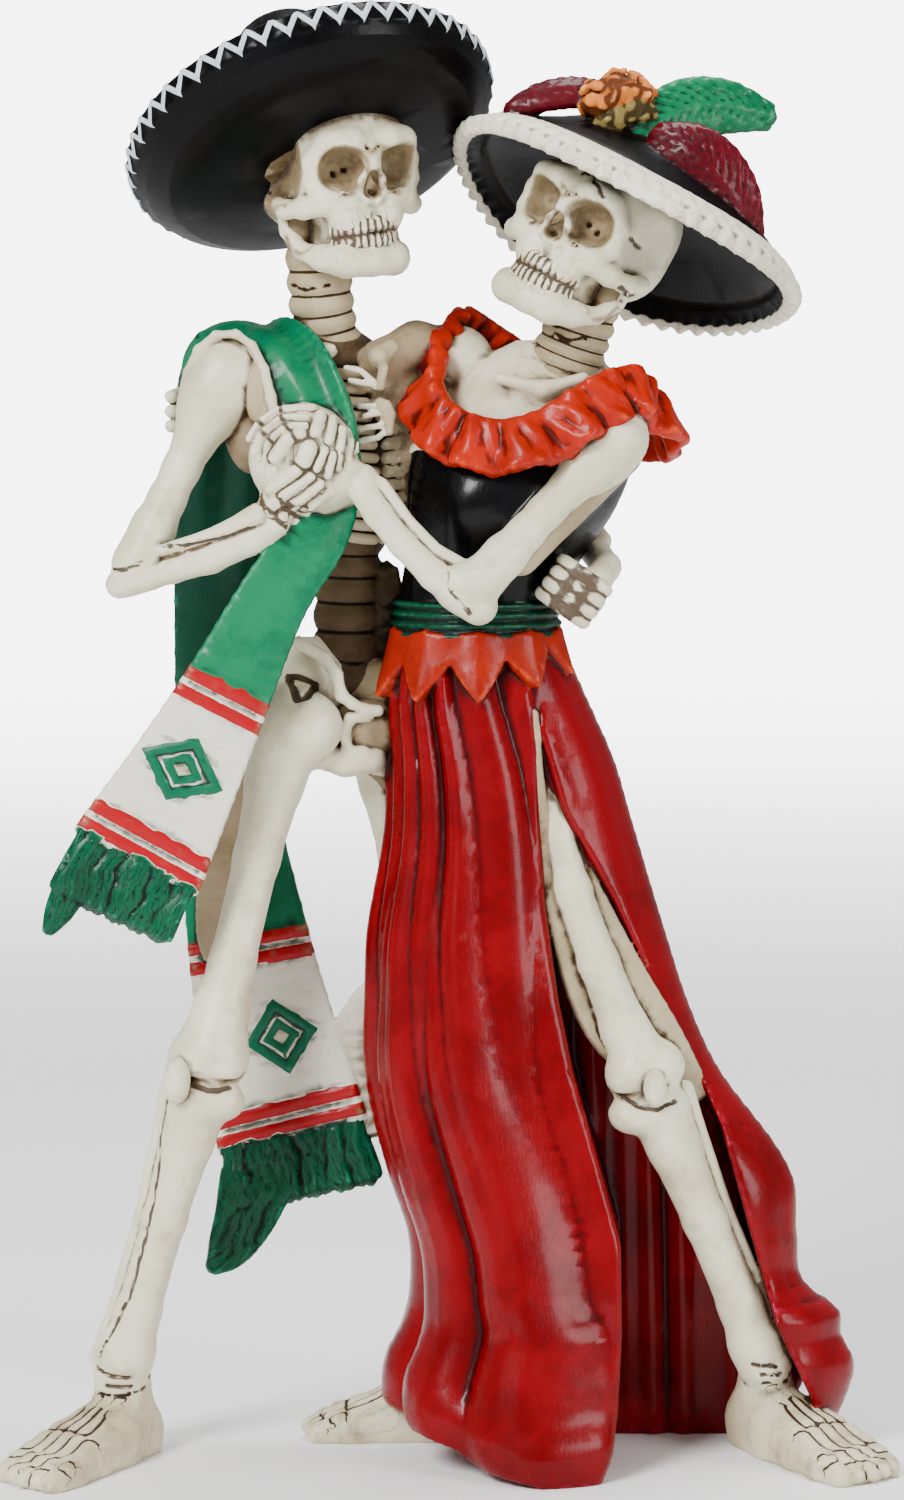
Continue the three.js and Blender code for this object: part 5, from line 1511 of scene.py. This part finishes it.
# A pale floor that fades out far from the couple, soft lights, and the camera of the photo.
floor_reach = 1.6
floor_corners = floor_reach * np.array([[-1, -1, 0], [1, -1, 0], [1, 1, 0], [-1, 1, 0]])
floor = bpy.data.objects.new("floor", shell_mesh("floor", floor_corners, np.array([[0, 1, 2, 3]])))
bpy.context.collection.objects.link(floor)
pale = bpy.data.materials.new("pale floor")
pale.use_nodes = True
pale_surface = pale.node_tree.nodes["Principled BSDF"]
pale_surface.inputs["Base Color"].default_value = rgb("#f2f2f2")
pale_surface.inputs["Roughness"].default_value = 0.7
spot = add(pale.node_tree, "TexCoord", out="Object")
away = add(pale.node_tree, "VectorMath", (spot,), "Value", operation="LENGTH")
faded = add(pale.node_tree, "MapRange", (away, 0.35, floor_reach, 1.0, 0.0), **soft)
pale.node_tree.links.new(faded, pale_surface.inputs["Alpha"])
floor.data.materials.append(pale)


def soft_light(name, place, aim, size, power):
    lamp = bpy.data.lights.new(name, "AREA")
    lamp.shape = "DISK"
    lamp.size = size
    lamp.energy = power
    made = bpy.data.objects.new(name, lamp)
    made.location = place
    made.rotation_euler = (Vector(aim) - Vector(place)).to_track_quat("-Z", "Y").to_euler()
    bpy.context.collection.objects.link(made)


middle = (0, 0, 0.13)
soft_light("key from the upper left", (-0.6, -0.9, 0.8), middle, 0.45, 26)
soft_light("fill from the right", (0.9, -0.7, 0.4), middle, 0.5, 9)
soft_light("top light", (0.1, 0.2, 1.1), middle, 0.5, 12)
world = bpy.data.worlds.new("studio")
world.use_nodes = True
backdrop = world.node_tree.nodes["Background"]
backdrop.inputs["Color"].default_value = rgb("#fbfbfb")
seen = add(world.node_tree, "LightPath", out="Is Camera Ray")
strength = add(world.node_tree, "MapRange", {"Value": seen, "To Min": 0.5, "To Max": 7.0})
world.node_tree.links.new(strength, backdrop.inputs["Strength"])
bpy.context.scene.world = world

sight = bpy.data.cameras.new("photo view")
sight.lens = 135.19
sight.sensor_fit = "VERTICAL"
sight.sensor_height = 36
sight.shift_y = -0.002
camera = bpy.data.objects.new("photo view", sight)
camera.location = (np.array([0, -950, 215]) + to_frame) / 1000
aim = Vector((np.array([0, 0, 120.3]) + to_frame) / 1000)
camera.rotation_euler = (aim - camera.location).to_track_quat("-Z", "Y").to_euler()
bpy.context.collection.objects.link(camera)
bpy.context.scene.camera = camera
